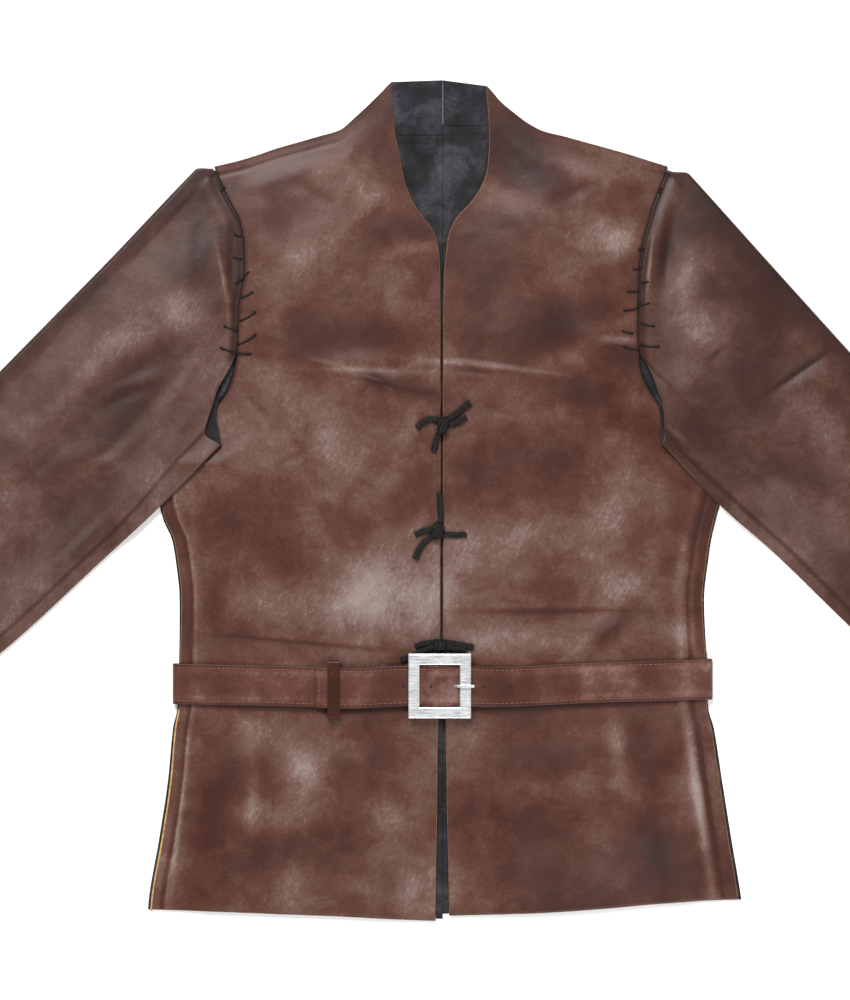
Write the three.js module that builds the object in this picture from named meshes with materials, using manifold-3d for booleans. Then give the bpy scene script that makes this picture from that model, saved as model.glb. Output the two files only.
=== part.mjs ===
// A belted leather jacket laid flat on its back. Millimetres, +Z up.
//
// In the pattern's own plane the centre front is x = 0, the wearer's left is +X and the collar is
// towards +Y. Every panel is a sheet of leather: a grid of points inside four edges, whose height
// comes from one set of functions, so the panels rest on each other with a seam gap between them.

import * as THREE from "three";
import { mergeVertices } from "three/addons/utils/BufferGeometryUtils.js";
import Module from "manifold-3d";

const wasm = await Module();
wasm.setup();

const WALL = 1.6; // jacket leather
const GAP = 0.3; // between pieces at a seam
const ARM_GAP = 0.4; // between the armhole and the sleeve's edge
// The belt presses the panels flat within flat of its middle, and lifts the back off the floor.
const BELT = { width: 39.4, thickness: 2.4, sag: 1.2, flat: 31, liftFlat: 24, liftEnd: 56, sagEnd: 84 };
const UNDERARM = 35; // height of the underarm, where the side seam meets the armhole
const ARM_TOP = 323.5; // height of the armhole's top
const FOLD_FADE = 1.5; // a fold fades out at this many half lengths
const FLANGE = { width: 14, rise: 55 }; // flat side seam allowance, and the slope inside it

// Distances from the centre line to the front edge, from hem to collar tip.
const FRONT_EDGE = [
  { y: -407, left: 7.3, right: 5.8 },
  { y: -300, left: 5.0, right: 4.3 },
  { y: -214, left: 3.4, right: 3.1 },
  { y: -170, left: 1.2, right: 1.2 },
  { y: 100, left: 1.0, right: 1.0 },
  { y: 213, left: 1.8, right: 1.2 },
  { y: 236, left: 3.8, right: 2.0 },
  { y: 254, left: 5.8, right: 5.0 },
  { y: 264, left: 9.0, right: 10.0 },
  { y: 275, left: 15.0, right: 18.5 },
  { y: 288, left: 27.5, right: 27.0 },
  { y: 305, left: 38.5, right: 34.5 },
  { y: 320, left: 44.0, right: 38.0 },
  { y: 350, left: 46.2, right: 44.0 },
  { y: 379, left: 44.8, right: 48.0 },
  { y: 402, left: 43.0, right: 48.6 },
  { y: 406, left: 42.8, right: 48.5 },
];

// Distances from the centre line to the side seam, and how far the back shows beyond the front.
const SIDE_SEAM = [
  { y: -400, left: 290.0, right: 283.0, under: 2.6 },
  { y: -388, left: 288.6, right: 282.0, under: 2.6 },
  { y: -330, left: 279.0, right: 272.0, under: 2.6 },
  { y: -272, left: 270.0, right: 263.5, under: 2.4 },
  { y: -222, left: 262.5, right: 259.0, under: 2.0 },
  { y: -203, left: 258.0, right: 255.5, under: 1.0 },
  { y: -178, left: 256.8, right: 254.4, under: 0.9 },
  { y: -152, left: 256.2, right: 254.0, under: 0.9 },
  { y: -97, left: 253.5, right: 253.2, under: 1.6 },
  { y: -59, left: 257.5, right: 257.0, under: 1.6 },
  { y: -39, left: 260.5, right: 260.5, under: 1.6 },
  { y: -20, left: 265.0, right: 269.0, under: 1.6 },
  { y: 10, left: 273.0, right: 275.5, under: 1.6 },
  { y: 35, left: 280.0, right: 280.0, under: 1.6 },
];

// Distances from the centre line to the front's and the back's armhole edge.
const ARMHOLE = [
  { y: 35, left: 280.0, right: 280.0 },
  { y: 48, left: 256.0, right: 259.0 },
  { y: 66, left: 233.0, right: 239.0 },
  { y: 80, left: 219.0, right: 227.0 },
  { y: 95, left: 208.5, right: 215.0 },
  { y: 106, left: 202.0, right: 208.0 },
  { y: 118, left: 195.8, right: 203.5 },
  { y: 132, left: 192.0, right: 200.0 },
  { y: 145, left: 191.4, right: 198.8 },
  { y: 168, left: 190.6, right: 197.8 },
  { y: 193, left: 191.0, right: 196.0 },
  { y: 222, left: 191.6, right: 191.4 },
  { y: 246, left: 194.4, right: 191.8 },
  { y: 270, left: 201.0, right: 196.0 },
  { y: 288, left: 206.5, right: 205.0 },
  { y: 304, left: 212.8, right: 213.0 },
  { y: 318, left: 218.0, right: 219.0 },
  { y: 323.5, left: 219.5, right: 221.0 },
];

// Height of the shoulder and collar outline, by distance from the centre line.
const SHOULDER = [
  { x: 44, left: 402.0, right: 408.0 },
  { x: 49, left: 396.5, right: 405.5 },
  { x: 57, left: 387.0, right: 397.5 },
  { x: 70, left: 376.0, right: 384.5 },
  { x: 84, left: 365.5, right: 371.5 },
  { x: 99, left: 357.8, right: 359.0 },
  { x: 119, left: 352.8, right: 353.0 },
  { x: 140, left: 347.0, right: 347.0 },
  { x: 161, left: 341.2, right: 341.0 },
  { x: 180, left: 335.8, right: 334.4 },
  { x: 200, left: 329.4, right: 328.4 },
  { x: 221, left: 322.8, right: 323.5 },
];

// Height of the hem, by distance from the centre line.
const HEM = [
  { x: 0, left: -405.0, right: -410.0 },
  { x: 50, left: -403.5, right: -408.0 },
  { x: 95, left: -402.0, right: -405.5 },
  { x: 160, left: -397.5, right: -403.0 },
  { x: 212, left: -393.0, right: -401.0 },
  { x: 270, left: -389.5, right: -399.2 },
  { x: 290, left: -389.0, right: -398.6 },
];

// Heights of the back's neck seam, the collar tips and the top of the neck band.
const NECK_SEAM = { left: 363, right: 354 };
const TIP = { left: { x: 42.9, y: 402.2 }, right: { x: 48.5, y: 406 } };
const NECK_TOP = 407.5;
const CENTRE_BACK = { x: 1, half: 0.15 }; // where the centre back seam lies, and half its gap

// Hollow between back and front in the middle of a front, by height up the jacket.
const FRONT_LOFT = [
  { y: -407, loft: 6.5 },
  { y: -320, loft: 8.5 },
  { y: -240, loft: 6.5 },
  { y: -120, loft: 6.5 },
  { y: 0, loft: 9.0 },
  { y: 120, loft: 11.5 },
  { y: 220, loft: 10.0 },
  { y: 300, loft: 7.0 },
  { y: 406, loft: 1.5 },
];

// Hollow under the front's edge along the armhole.
const ARMHOLE_LOFT = [
  { y: 35, loft: 0 },
  { y: 95, loft: 0 },
  { y: 106, loft: 0.5 },
  { y: 118, loft: 2.0 },
  { y: 132, loft: 4.5 },
  { y: 145, loft: 6.0 },
  { y: 200, loft: 7.5 },
  { y: 270, loft: 6.0 },
  { y: 304, loft: 3.0 },
  { y: 323.5, loft: 1.2 },
];

// Centre line of the belt along the jacket.
const BELT_LINE = [
  { x: -262, y: -179.0 },
  { x: -162, y: -181.0 },
  { x: -88, y: -183.0 },
  { x: -26, y: -180.6 },
  { x: 20, y: -180.6 },
  { x: 48, y: -182.0 },
  { x: 143, y: -178.0 },
  { x: 262, y: -174.5 },
];

// Largest folds: middle, half length, half width, height, and turn from +X in degrees.
const BODY_FOLDS = [
  { x: -68, y: 131, long: 42, wide: 11, high: 2.6, turn: 0 },
  { x: -60, y: 113, long: 30, wide: 8, high: -2.4, turn: -28 },
  { x: 160, y: 158, long: 34, wide: 10, high: 2.4, turn: -8 },
  { x: -130, y: 235, long: 60, wide: 16, high: 1.8, turn: 62 },
  { x: 120, y: 245, long: 62, wide: 16, high: 1.8, turn: -58 },
  { x: 95, y: 60, long: 60, wide: 14, high: -1.6, turn: 24 },
  { x: -150, y: 20, long: 64, wide: 14, high: 1.6, turn: -30 },
  { x: -128, y: -128, long: 70, wide: 9, high: -1.2, turn: -5 },
  { x: 130, y: -118, long: 60, wide: 10, high: 1.3, turn: 8 },
  { x: -150, y: -300, long: 80, wide: 18, high: 1.8, turn: 80 },
  { x: 140, y: -310, long: 80, wide: 18, high: 1.8, turn: -82 },
];
const SLEEVE_FOLDS = [
  { x: 348, y: 125, long: 34, wide: 7, high: -2.6, turn: 34 },
  { x: 219, y: 240, long: 34, wide: 8, high: -2.2, turn: 84 },
  { x: 300, y: 60, long: 44, wide: 12, high: 2.0, turn: -20 },
  { x: -212, y: 212, long: 40, wide: 7, high: 2.4, turn: -80 },
  { x: -300, y: 120, long: 50, wide: 13, high: -2.0, turn: 40 },
  { x: -352, y: 40, long: 52, wide: 14, high: 1.8, turn: 20 },
  { x: 460, y: -40, long: 50, wide: 14, high: -1.8, turn: 40 },
  { x: -480, y: -50, long: 50, wide: 14, high: -1.8, turn: -44 },
];

// Each sleeve: its top at the shoulder, its slope below the horizontal, and its length.
const SLEEVE = {
  left: { x: 238.5, y: 318, slope: 47.9, length: 640 },
  right: { x: -236, y: 321, slope: 45.5, length: 640 },
};
// Width of a flat sleeve, by distance down its top edge.
const SLEEVE_WIDTH = [
  { s: 0, left: 193, right: 202 },
  { s: 184, left: 193, right: 202 },
  { s: 262, left: 191, right: 202.5 },
  { s: 344, left: 184, right: 199 },
  { s: 450, left: 177, right: 194 },
  { s: 640, left: 152, right: 160 },
];
// How far the top edge falls off at the sleeve's head.
const SLEEVE_HEAD_DROP = [
  { s: -14, drop: 10 },
  { s: -3, drop: 1.5 },
  { s: 6, drop: 0 },
  { s: 640, drop: 0 },
];
// Each column of a sleeve: its share of the width, and the height on the armhole it starts from.
const SLEEVE_COLUMNS = [
  { across: 0.08, y: 318 },
  { across: 0.15, y: 304 },
  { across: 0.24, y: 288 },
  { across: 0.34, y: 270 },
  { across: 0.43, y: 246 },
  { across: 0.52, y: 222 },
  { across: 0.6, y: 193 },
  { across: 0.68, y: 168 },
  { across: 0.74, y: 145 },
  { across: 0.775, y: 132 },
  { across: 0.805, y: 118 },
  { across: 0.835, y: 106 },
  { across: 0.865, y: 95 },
  { across: 0.9, y: 80 },
  { across: 0.94, y: 64 },
  { across: 1.0, y: 53 },
];
const SEWN_ABOVE = 140; // the armhole is sewn above this height and slit below it
// Edges of the slit, as distances of the over and under layers from the centre line, and how high
// the over layer stands off the under layer there.
const SLIT = [
  { y: 53, overLeft: 214.5, overRight: 214.5, underLeft: 213.5, underRight: 214.0, open: 0 },
  { y: 64, overLeft: 216.0, overRight: 230.0, underLeft: 213.5, underRight: 216.0, open: 0 },
  { y: 80, overLeft: 215.5, overRight: 226.0, underLeft: 212.5, underRight: 219.0, open: 2.2 },
  { y: 95, overLeft: 213.0, overRight: 221.0, underLeft: 210.0, underRight: 217.0, open: 3.6 },
  { y: 106, overLeft: 209.0, overRight: 217.5, underLeft: 203.8, underRight: 209.8, open: 4.4 },
  { y: 118, overLeft: 205.0, overRight: 211.0, underLeft: 197.8, underRight: 205.2, open: 5.0 },
  { y: 132, overLeft: 198.6, overRight: 203.6, underLeft: 193.6, underRight: 201.6, open: 5.4 },
  { y: 140, overLeft: 194.6, overRight: 200.8, underLeft: 192.4, underRight: 199.8, open: 5.8 },
];
// Hollow inside a sleeve, by distance down its top edge.
const SLEEVE_LOFT = [
  { s: -14, loft: 7.0 },
  { s: 120, loft: 11.0 },
  { s: 300, loft: 11.5 },
  { s: 450, loft: 9.5 },
  { s: 640, loft: 8.0 },
];
const SLEEVE_FOLD_LOFT = 4.4; // hollow just inside the folded top edge
const SLEEVE_FLANGE = 0.935; // the seam lies at this share of the width
const SLEEVE_ROWS = [
  0, 0.016, 0.036, 0.06, 0.09, 0.125, 0.165, 0.215, 0.28, 0.36, 0.46, 0.57, 0.68, 0.79, 0.9, 1,
];
const SLEEVE_REST = 1.3; // a sleeve lies this far over the body's underarm
// Beyond the body's edge the sleeve stays raised for the margin, and is down at the ramp's end.
const UNDERARM_MARGIN = 28;
const UNDERARM_RAMP = 66;

// Columns of a front and a back, as shares of the way from the centre to the side.
const FRONT_COLUMNS = [0, 0.03, 0.08, 0.16, 0.26, 0.36, 0.46, 0.56, 0.66, 0.75, 0.83, 0.89, 0.935, 0.965, 1];
const NECK_SHARE = 0.44; // of a back's columns that end at the neck seam
const BACK_COLUMNS = [0, 0.15, 0.3, NECK_SHARE, 0.6, 0.75, 0.89, 1];

// Heights of a panel's rows: from the belt line, on the skirt and on the waist.
const BELT_ROWS = [-56, -44, -31, -24, 0, 24, 31, 44, 56];
const SKIRT_ROWS = [-365, -325, -285];
const WAIST_ROWS = [-85, -50, -18, 12];
const BORDER_POWER = 6; // how fast the hem's and the shoulder's shape fades into the panel

const FRONT_TOP = BELT.thickness + GAP + WALL + GAP + BELT.sag + WALL; // outside of a front under the belt
const STRAP_REST = FRONT_TOP + GAP + BELT.thickness / 2; // middle of a strap on the front
const STRAP_STEP = BELT.thickness + GAP; // from one strap to the one on it
const BAR = { x: -5, radius: 1.6 }; // the buckle's middle bar
// The strap's eye round the bar.
const EYE_RADIUS = BAR.radius + GAP + BELT.thickness / 2;
const BAR_HEIGHT = STRAP_REST + EYE_RADIUS;
// Where the belt turns round the body's sides, and its height on the floor.
const BELT_TURN = { left: 258.2, right: -256.2 };
const FLOOR_RUN = BELT.thickness / 2;

// Rise of the buckle-end strap over its resting height, and of the tip-end strap over its own.
const LOWER_STRAP = [
  { x: -246, rise: 0 },
  { x: -190, rise: 0 },
  { x: -126, rise: 0 },
  { x: -113, rise: 1.9 },
  { x: -105, rise: 1.9 },
  { x: -97, rise: 1.9 },
  { x: -82, rise: 0.5 },
  { x: -62, rise: 0.2 },
  { x: -44, rise: 0.7 },
  { x: -33, rise: 1.2 },
  { x: -22, rise: 1.6 },
  { x: -14, rise: 4.0 },
];
const UPPER_STRAP = [
  { x: -122.7, rise: 0.2 },
  { x: -113, rise: 1.9 },
  { x: -105, rise: 1.9 },
  { x: -97, rise: 1.9 },
  { x: -82, rise: 0.6 },
  { x: -62, rise: 0.3 },
  { x: -44, rise: 0.8 },
  { x: -33, rise: 1.3 },
  { x: -23, rise: 1.8 },
  { x: -16, rise: 4.0 },
  { x: -10.5, rise: 6.0 },
  { x: -5, rise: 6.6 },
  { x: 0.5, rise: 6.1 },
  { x: 7, rise: 4.2 },
  { x: 14, rise: 2.2 },
  { x: 20, rise: 1.3 },
  { x: 29, rise: 0.4 },
  { x: 40, rise: -1.2 },
  { x: 54, rise: -2.5 },
  { x: 66, rise: -2.7 },
  { x: 110, rise: -2.7 },
  { x: 180, rise: -2.7 },
  { x: 246, rise: -2.7 },
];
const STRAP_HOLES = [-37, -9.5, 40, 67.4]; // places along x
const PRONG_HOLE = { x: 13.3, long: 4.8, wide: 2.3 };

// The buckle's outline, the width of its bars and its bevel.
const BUCKLE = {
  left: -32.4,
  right: 28.5,
  low: -211.9,
  high: -149.2,
  bar: 11.1,
  thickness: 3.6,
  bevel: 1.2,
};
const BUCKLE_BOTTOM = STRAP_REST + STRAP_STEP + 1.8 + BELT.thickness / 2 + GAP;

const KEEPER = { x: -110.7, width: 12.1, low: -213, high: -156, wall: 1.6, corner: 2.6 };

// Leather thongs of the three ties: the free ends on each side of a knot, and what lies over them.
const THONG = { diameter: 4.2, sides: 8 };
const TIES = {
  top: {
    knot: { x: 1, y: 71.5, wide: 11, high: 18, thick: 6.5 },
    upper: [[-24, 69], [-19, 74], [-12, 77.5], [-5, 77.5], [2, 76.5], [9, 80], [18, 86.5], [27.5, 94]],
    lower: [[-8, 46], [-6, 54], [-3.5, 62], [0, 68.5], [6, 71.4], [14, 74.5], [24, 80]],
  },
  middle: {
    knot: { x: -4, y: -30.5, wide: 11, high: 17, thick: 6.5 },
    upper: [[-26, -34.5], [-18, -31], [-10, -28.5], [-4, -25.5], [-1, -19], [-1.2, -10], [-2, 6]],
    lower: [[-26, -58], [-20, -46], [-13, -38.5], [-5, -35], [4, -34.2], [14, -34.5], [24, -34]],
  },
  bottom: {
    knot: { x: -1.5, y: -142, wide: 12, high: 12, thick: 6 },
    upper: [[-26, -142.5], [-18, -140], [-9, -138.8], [0, -138.6], [10, -139.4], [20, -141.5], [31, -143.5]],
    lower: [[-40, -156.4], [-31, -153], [-20, -147.8], [-10, -144.3], [0, -143.6], [10, -144.6], [24, -147]],
  },
};

const SIDES = [
  { name: "left", sign: 1 },
  { name: "right", sign: -1 },
];

const clamp = THREE.MathUtils.clamp;
const mix = THREE.MathUtils.lerp;
const smooth = (from, to, t) => THREE.MathUtils.smoothstep((t - from) / (to - from), 0, 1);
const plateau = (distance, flat, end) => 1 - smooth(flat, end, distance);

// One column of a table as a smooth curve of another, without overshoot, flat beyond its ends.
function column(rows, key, value) {
  const at = rows.map((row) => row[key]);
  const to = rows.map((row) => row[value]);
  const rise = at.slice(1).map((t, i) => (to[i + 1] - to[i]) / (t - at[i]));
  const slope = at.map((_, i) => {
    if (i === 0) return rise[0];
    if (i === at.length - 1) return rise[i - 1];
    if (rise[i - 1] * rise[i] <= 0) return 0;
    return (2 * rise[i - 1] * rise[i]) / (rise[i - 1] + rise[i]);
  });
  return (t) => {
    if (t <= at[0]) return to[0];
    if (t >= at[at.length - 1]) return to[to.length - 1];
    const i = at.findIndex((next) => next > t) - 1;
    const span = at[i + 1] - at[i];
    const k = (t - at[i]) / span;
    const start = to[i] * (1 + 2 * k) + span * slope[i] * k;
    const end = to[i + 1] * (3 - 2 * k) - span * slope[i + 1] * (1 - k);
    return start * (1 - k) ** 2 + end * k ** 2;
  };
}

const beltLine = column(BELT_LINE, "x", "y");
const frontLoft = column(FRONT_LOFT, "y", "loft");
const armholeLoft = column(ARMHOLE_LOFT, "y", "loft");
const backBeyond = column(SIDE_SEAM, "y", "under");
const slitOpening = column(SLIT, "y", "open");
const sleeveLoft = column(SLEEVE_LOFT, "s", "loft");
const sleeveDrop = column(SLEEVE_HEAD_DROP, "s", "drop");

// The curves of one side of the jacket.
function pattern(side) {
  const seam = column(SIDE_SEAM, "y", side);
  const armhole = column(ARMHOLE, "y", side);
  const layerSide = side === "left" ? "Left" : "Right";
  return {
    front: column(FRONT_EDGE, "y", side),
    outer: (y) => (y < UNDERARM ? seam(y) : armhole(y)),
    shoulder: column(SHOULDER, "x", side),
    hem: column(HEM, "x", side),
    width: column(SLEEVE_WIDTH, "s", side),
    over: column(SLIT, "y", "over" + layerSide),
    under: column(SLIT, "y", "under" + layerSide),
  };
}
const PATTERN = { left: pattern("left"), right: pattern("right") };

// Sum of long bell-shaped folds at a point.
function foldHeight(folds, x, y) {
  let height = 0;
  for (const fold of folds) {
    const turn = THREE.MathUtils.degToRad(fold.turn);
    const along = (x - fold.x) * Math.cos(turn) + (y - fold.y) * Math.sin(turn);
    const across = (y - fold.y) * Math.cos(turn) - (x - fold.x) * Math.sin(turn);
    const fade = plateau(Math.abs(along), 0, fold.long * FOLD_FADE);
    height += fold.high * fade * Math.exp(-((across / fold.wide) ** 2));
  }
  return height;
}

// Underside of the back: on the floor, and raised over the belt's back run.
function backBottom(x, y) {
  const lift = plateau(Math.abs(y - beltLine(x)), BELT.liftFlat, BELT.liftEnd);
  return (BELT.thickness + GAP) * lift;
}

// Hollow between the back and a front at a distance dx from the centre line.
function hollow(side, sign, dx, y) {
  const { front, outer, shoulder, hem } = PATTERN[side];
  const fromSide = outer(y) - dx;
  const fromFront = dx - front(y);
  const fromTop = shoulder(dx) - y;
  const fromHem = y - hem(dx);
  const x = sign * dx;
  let inside = frontLoft(y) * (0.28 + 0.72 * smooth(0, 80, fromFront));
  inside *= 0.55 + 0.45 * smooth(0, 90, fromHem);
  inside += foldHeight(BODY_FOLDS, x, y) * smooth(0, 30, fromFront);
  inside *= smooth(0, 34, fromTop);
  inside = mix(inside, BELT.sag, plateau(Math.abs(y - beltLine(x)), BELT.flat, BELT.sagEnd));
  const flange = FLANGE.width * plateau(y, 60, 110);
  return Math.max(0, mix(armholeLoft(y), inside, smooth(flange, flange + FLANGE.rise, fromSide)));
}

const frontBottom = (side, sign, dx, y) => backBottom(sign * dx, y) + WALL + GAP + hollow(side, sign, dx, y);

// A closed sheet between two grids of points, over and under, each a list of rows.
function sheet(over, under) {
  const rows = over.length;
  const columns = over[0].length;
  const coordinates = (grid) => grid.flatMap((row) => row.flatMap((p) => [p.x, p.y, p.z]));
  const positions = [...coordinates(over), ...coordinates(under)];
  const top = (i, j) => i * columns + j;
  const low = (i, j) => rows * columns + i * columns + j;
  const faces = [];
  const quad = (a, b, c, d) => faces.push(a, b, c, a, c, d);
  for (let i = 0; i < rows - 1; i += 1) {
    for (let j = 0; j < columns - 1; j += 1) {
      quad(top(i, j), top(i, j + 1), top(i + 1, j + 1), top(i + 1, j));
      quad(low(i, j), low(i + 1, j), low(i + 1, j + 1), low(i, j + 1));
    }
    quad(low(i, 0), top(i, 0), top(i + 1, 0), low(i + 1, 0));
    quad(top(i, columns - 1), low(i, columns - 1), low(i + 1, columns - 1), top(i + 1, columns - 1));
  }
  for (let j = 0; j < columns - 1; j += 1) {
    quad(top(0, j), low(0, j), low(0, j + 1), top(0, j + 1));
    quad(low(rows - 1, j), top(rows - 1, j), top(rows - 1, j + 1), low(rows - 1, j + 1));
  }
  return solidFrom(positions, faces);
}

// A geometry whose faces look outwards.
function solidFrom(positions, faces) {
  const geometry = new THREE.BufferGeometry();
  geometry.setAttribute("position", new THREE.Float32BufferAttribute(positions, 3));
  geometry.setIndex(faces);
  if (signedVolume(geometry) < 0) {
    for (let i = 0; i < faces.length; i += 3) [faces[i + 1], faces[i + 2]] = [faces[i + 2], faces[i + 1]];
    geometry.setIndex(faces);
  }
  return geometry;
}

function signedVolume(geometry) {
  const p = geometry.getAttribute("position");
  const corner = [new THREE.Vector3(), new THREE.Vector3(), new THREE.Vector3()];
  let volume = 0;
  for (let i = 0; i < geometry.index.count; i += 3) {
    corner.forEach((v, k) => v.fromBufferAttribute(p, geometry.index.getX(i + k)));
    volume += corner[0].dot(corner[1].clone().cross(corner[2])) / 6;
  }
  return volume;
}

// Heights up the side edge, and the height at the centre that each row runs to.
function rowHeights(side, sign, hemCentre, topCentre, sideTop) {
  const beltSide = beltLine(sign * 256);
  const beltCentre = beltLine(sign * 2);
  const hemSide = PATTERN[side].hem(288);
  const sewn = ARMHOLE.map((row) => row.y).filter((y) => y > UNDERARM);
  const below = [hemSide, ...SKIRT_ROWS, ...BELT_ROWS.map((d) => beltSide + d), ...WAIST_ROWS, UNDERARM];
  const anchors = [
    { edge: hemSide, centre: hemCentre },
    { edge: beltSide + BELT_ROWS[0], centre: beltCentre + BELT_ROWS[0] },
    { edge: beltSide + BELT_ROWS.at(-1), centre: beltCentre + BELT_ROWS.at(-1) },
    { edge: UNDERARM, centre: 78 },
    { edge: 118, centre: 196 },
    { edge: 222, centre: topCentre - (sideTop - 222) * 1.1 },
    { edge: sideTop, centre: topCentre },
  ];
  const toCentre = (y) => {
    const i = clamp(anchors.findIndex((anchor) => anchor.edge >= y), 1, anchors.length - 1);
    const share = (y - anchors[i - 1].edge) / (anchors[i].edge - anchors[i - 1].edge);
    return mix(anchors[i - 1].centre, anchors[i].centre, share);
  };
  return [...below, ...sewn].map((edge) => ({ edge, centre: toCentre(edge) }));
}

// Plan of a panel: rows run from the centre to the side, and the hem and the top edge shape the
// rows near them.
function panelPlan({ rows, columns, sign, inner, outer, hemEdge, topEdge }) {
  return rows.map((row, i) => {
    const v = i / (rows.length - 1);
    const start = { x: inner(row.centre), y: row.centre };
    const end = { x: outer(row.edge), y: row.edge };
    return columns.map((u) => {
      const low = hemEdge(u);
      const high = topEdge(u);
      const lowWeight = (1 - v) ** BORDER_POWER;
      const highWeight = v ** BORDER_POWER;
      const x = mix(start.x, end.x, u) + lowWeight * low.x + highWeight * high.x;
      const y = mix(start.y, end.y, u) + lowWeight * low.y + highWeight * high.y;
      return { x: sign * x, y };
    });
  });
}

// How a border leaves the straight line between its ends, as a function of the share along it.
function borderShape(pointAt) {
  const first = pointAt(0);
  const last = pointAt(1);
  return (u) => {
    const p = pointAt(u);
    return { x: p.x - mix(first.x, last.x, u), y: p.y - mix(first.y, last.y, u) };
  };
}

// A border whose height is a curve of the distance from the centre line.
function borderAlong(curve, from, to) {
  return borderShape((u) => {
    const x = mix(from, to, u);
    return { x, y: curve(x) };
  });
}

// A sheet of leather over its own underside's heights.
function heightSheet(plan, bottom) {
  const low = plan.map((row) => row.map((p) => ({ ...p, z: bottom(p.x, p.y) })));
  const high = low.map((row) => row.map((p) => ({ ...p, z: p.z + WALL })));
  return sheet(high, low);
}

function frontPanel({ name: side, sign }) {
  const { front, outer, hem, shoulder } = PATTERN[side];
  const tip = TIP[side];
  const top = (x) => (x < tip.x + 1 ? tip.y : shoulder(x));
  const rows = rowHeights(side, sign, hem(6), tip.y, ARM_TOP);
  const plan = panelPlan({
    rows,
    columns: FRONT_COLUMNS,
    sign,
    inner: front,
    outer,
    hemEdge: borderAlong(hem, front(-407), outer(rows[0].edge)),
    topEdge: borderAlong(top, tip.x, outer(ARM_TOP)),
  });
  return heightSheet(plan, (x, y) => frontBottom(side, sign, sign * x, y));
}

function backPanel({ name: side, sign }) {
  const { outer, hem, shoulder } = PATTERN[side];
  const inner = () => sign * CENTRE_BACK.x + CENTRE_BACK.half;
  const backOuter = (y) => outer(y) + backBeyond(y) * plateau(y, UNDERARM, 48);
  const seamY = NECK_SEAM[side];
  const corner = neckCorner(side);
  const rows = rowHeights(side, sign, hem(6) + 2, seamY, ARM_TOP);
  const seamThenShoulder = (u) => {
    if (u <= NECK_SHARE) return { x: mix(inner(), corner, u / NECK_SHARE), y: seamY };
    const x = mix(corner, outer(ARM_TOP), (u - NECK_SHARE) / (1 - NECK_SHARE));
    return { x, y: shoulder(x) };
  };
  const plan = panelPlan({
    rows,
    columns: BACK_COLUMNS,
    sign,
    inner,
    outer: backOuter,
    hemEdge: borderAlong(hem, inner(), backOuter(rows[0].edge)),
    topEdge: borderShape(seamThenShoulder),
  });
  return heightSheet(plan, backBottom);
}

// Distance from the centre at which the neck seam meets the collar outline.
function neckCorner(side) {
  const { shoulder } = PATTERN[side];
  let x = 60;
  while (shoulder(x) > NECK_SEAM[side]) x += 0.5;
  return x;
}

function neckBand({ name: side, sign }) {
  const { shoulder } = PATTERN[side];
  const inner = sign * CENTRE_BACK.x + CENTRE_BACK.half;
  const low = NECK_SEAM[side] + GAP;
  const corner = neckCorner(side) - GAP;
  const tip = TIP[side];
  const plan = [0, 0.25, 0.5, 0.75, 1].map((v) =>
    [0, 0.2, 0.4, 0.6, 0.8, 1].map((u) => {
      const endX = mix(corner, tip.x, v);
      const endY = v === 0 ? low : Math.min(shoulder(endX), tip.y);
      const startY = mix(low, NECK_TOP, v);
      return { x: sign * mix(inner, endX, u), y: mix(startY, endY, u) };
    }),
  );
  return heightSheet(plan, () => 0);
}

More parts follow.
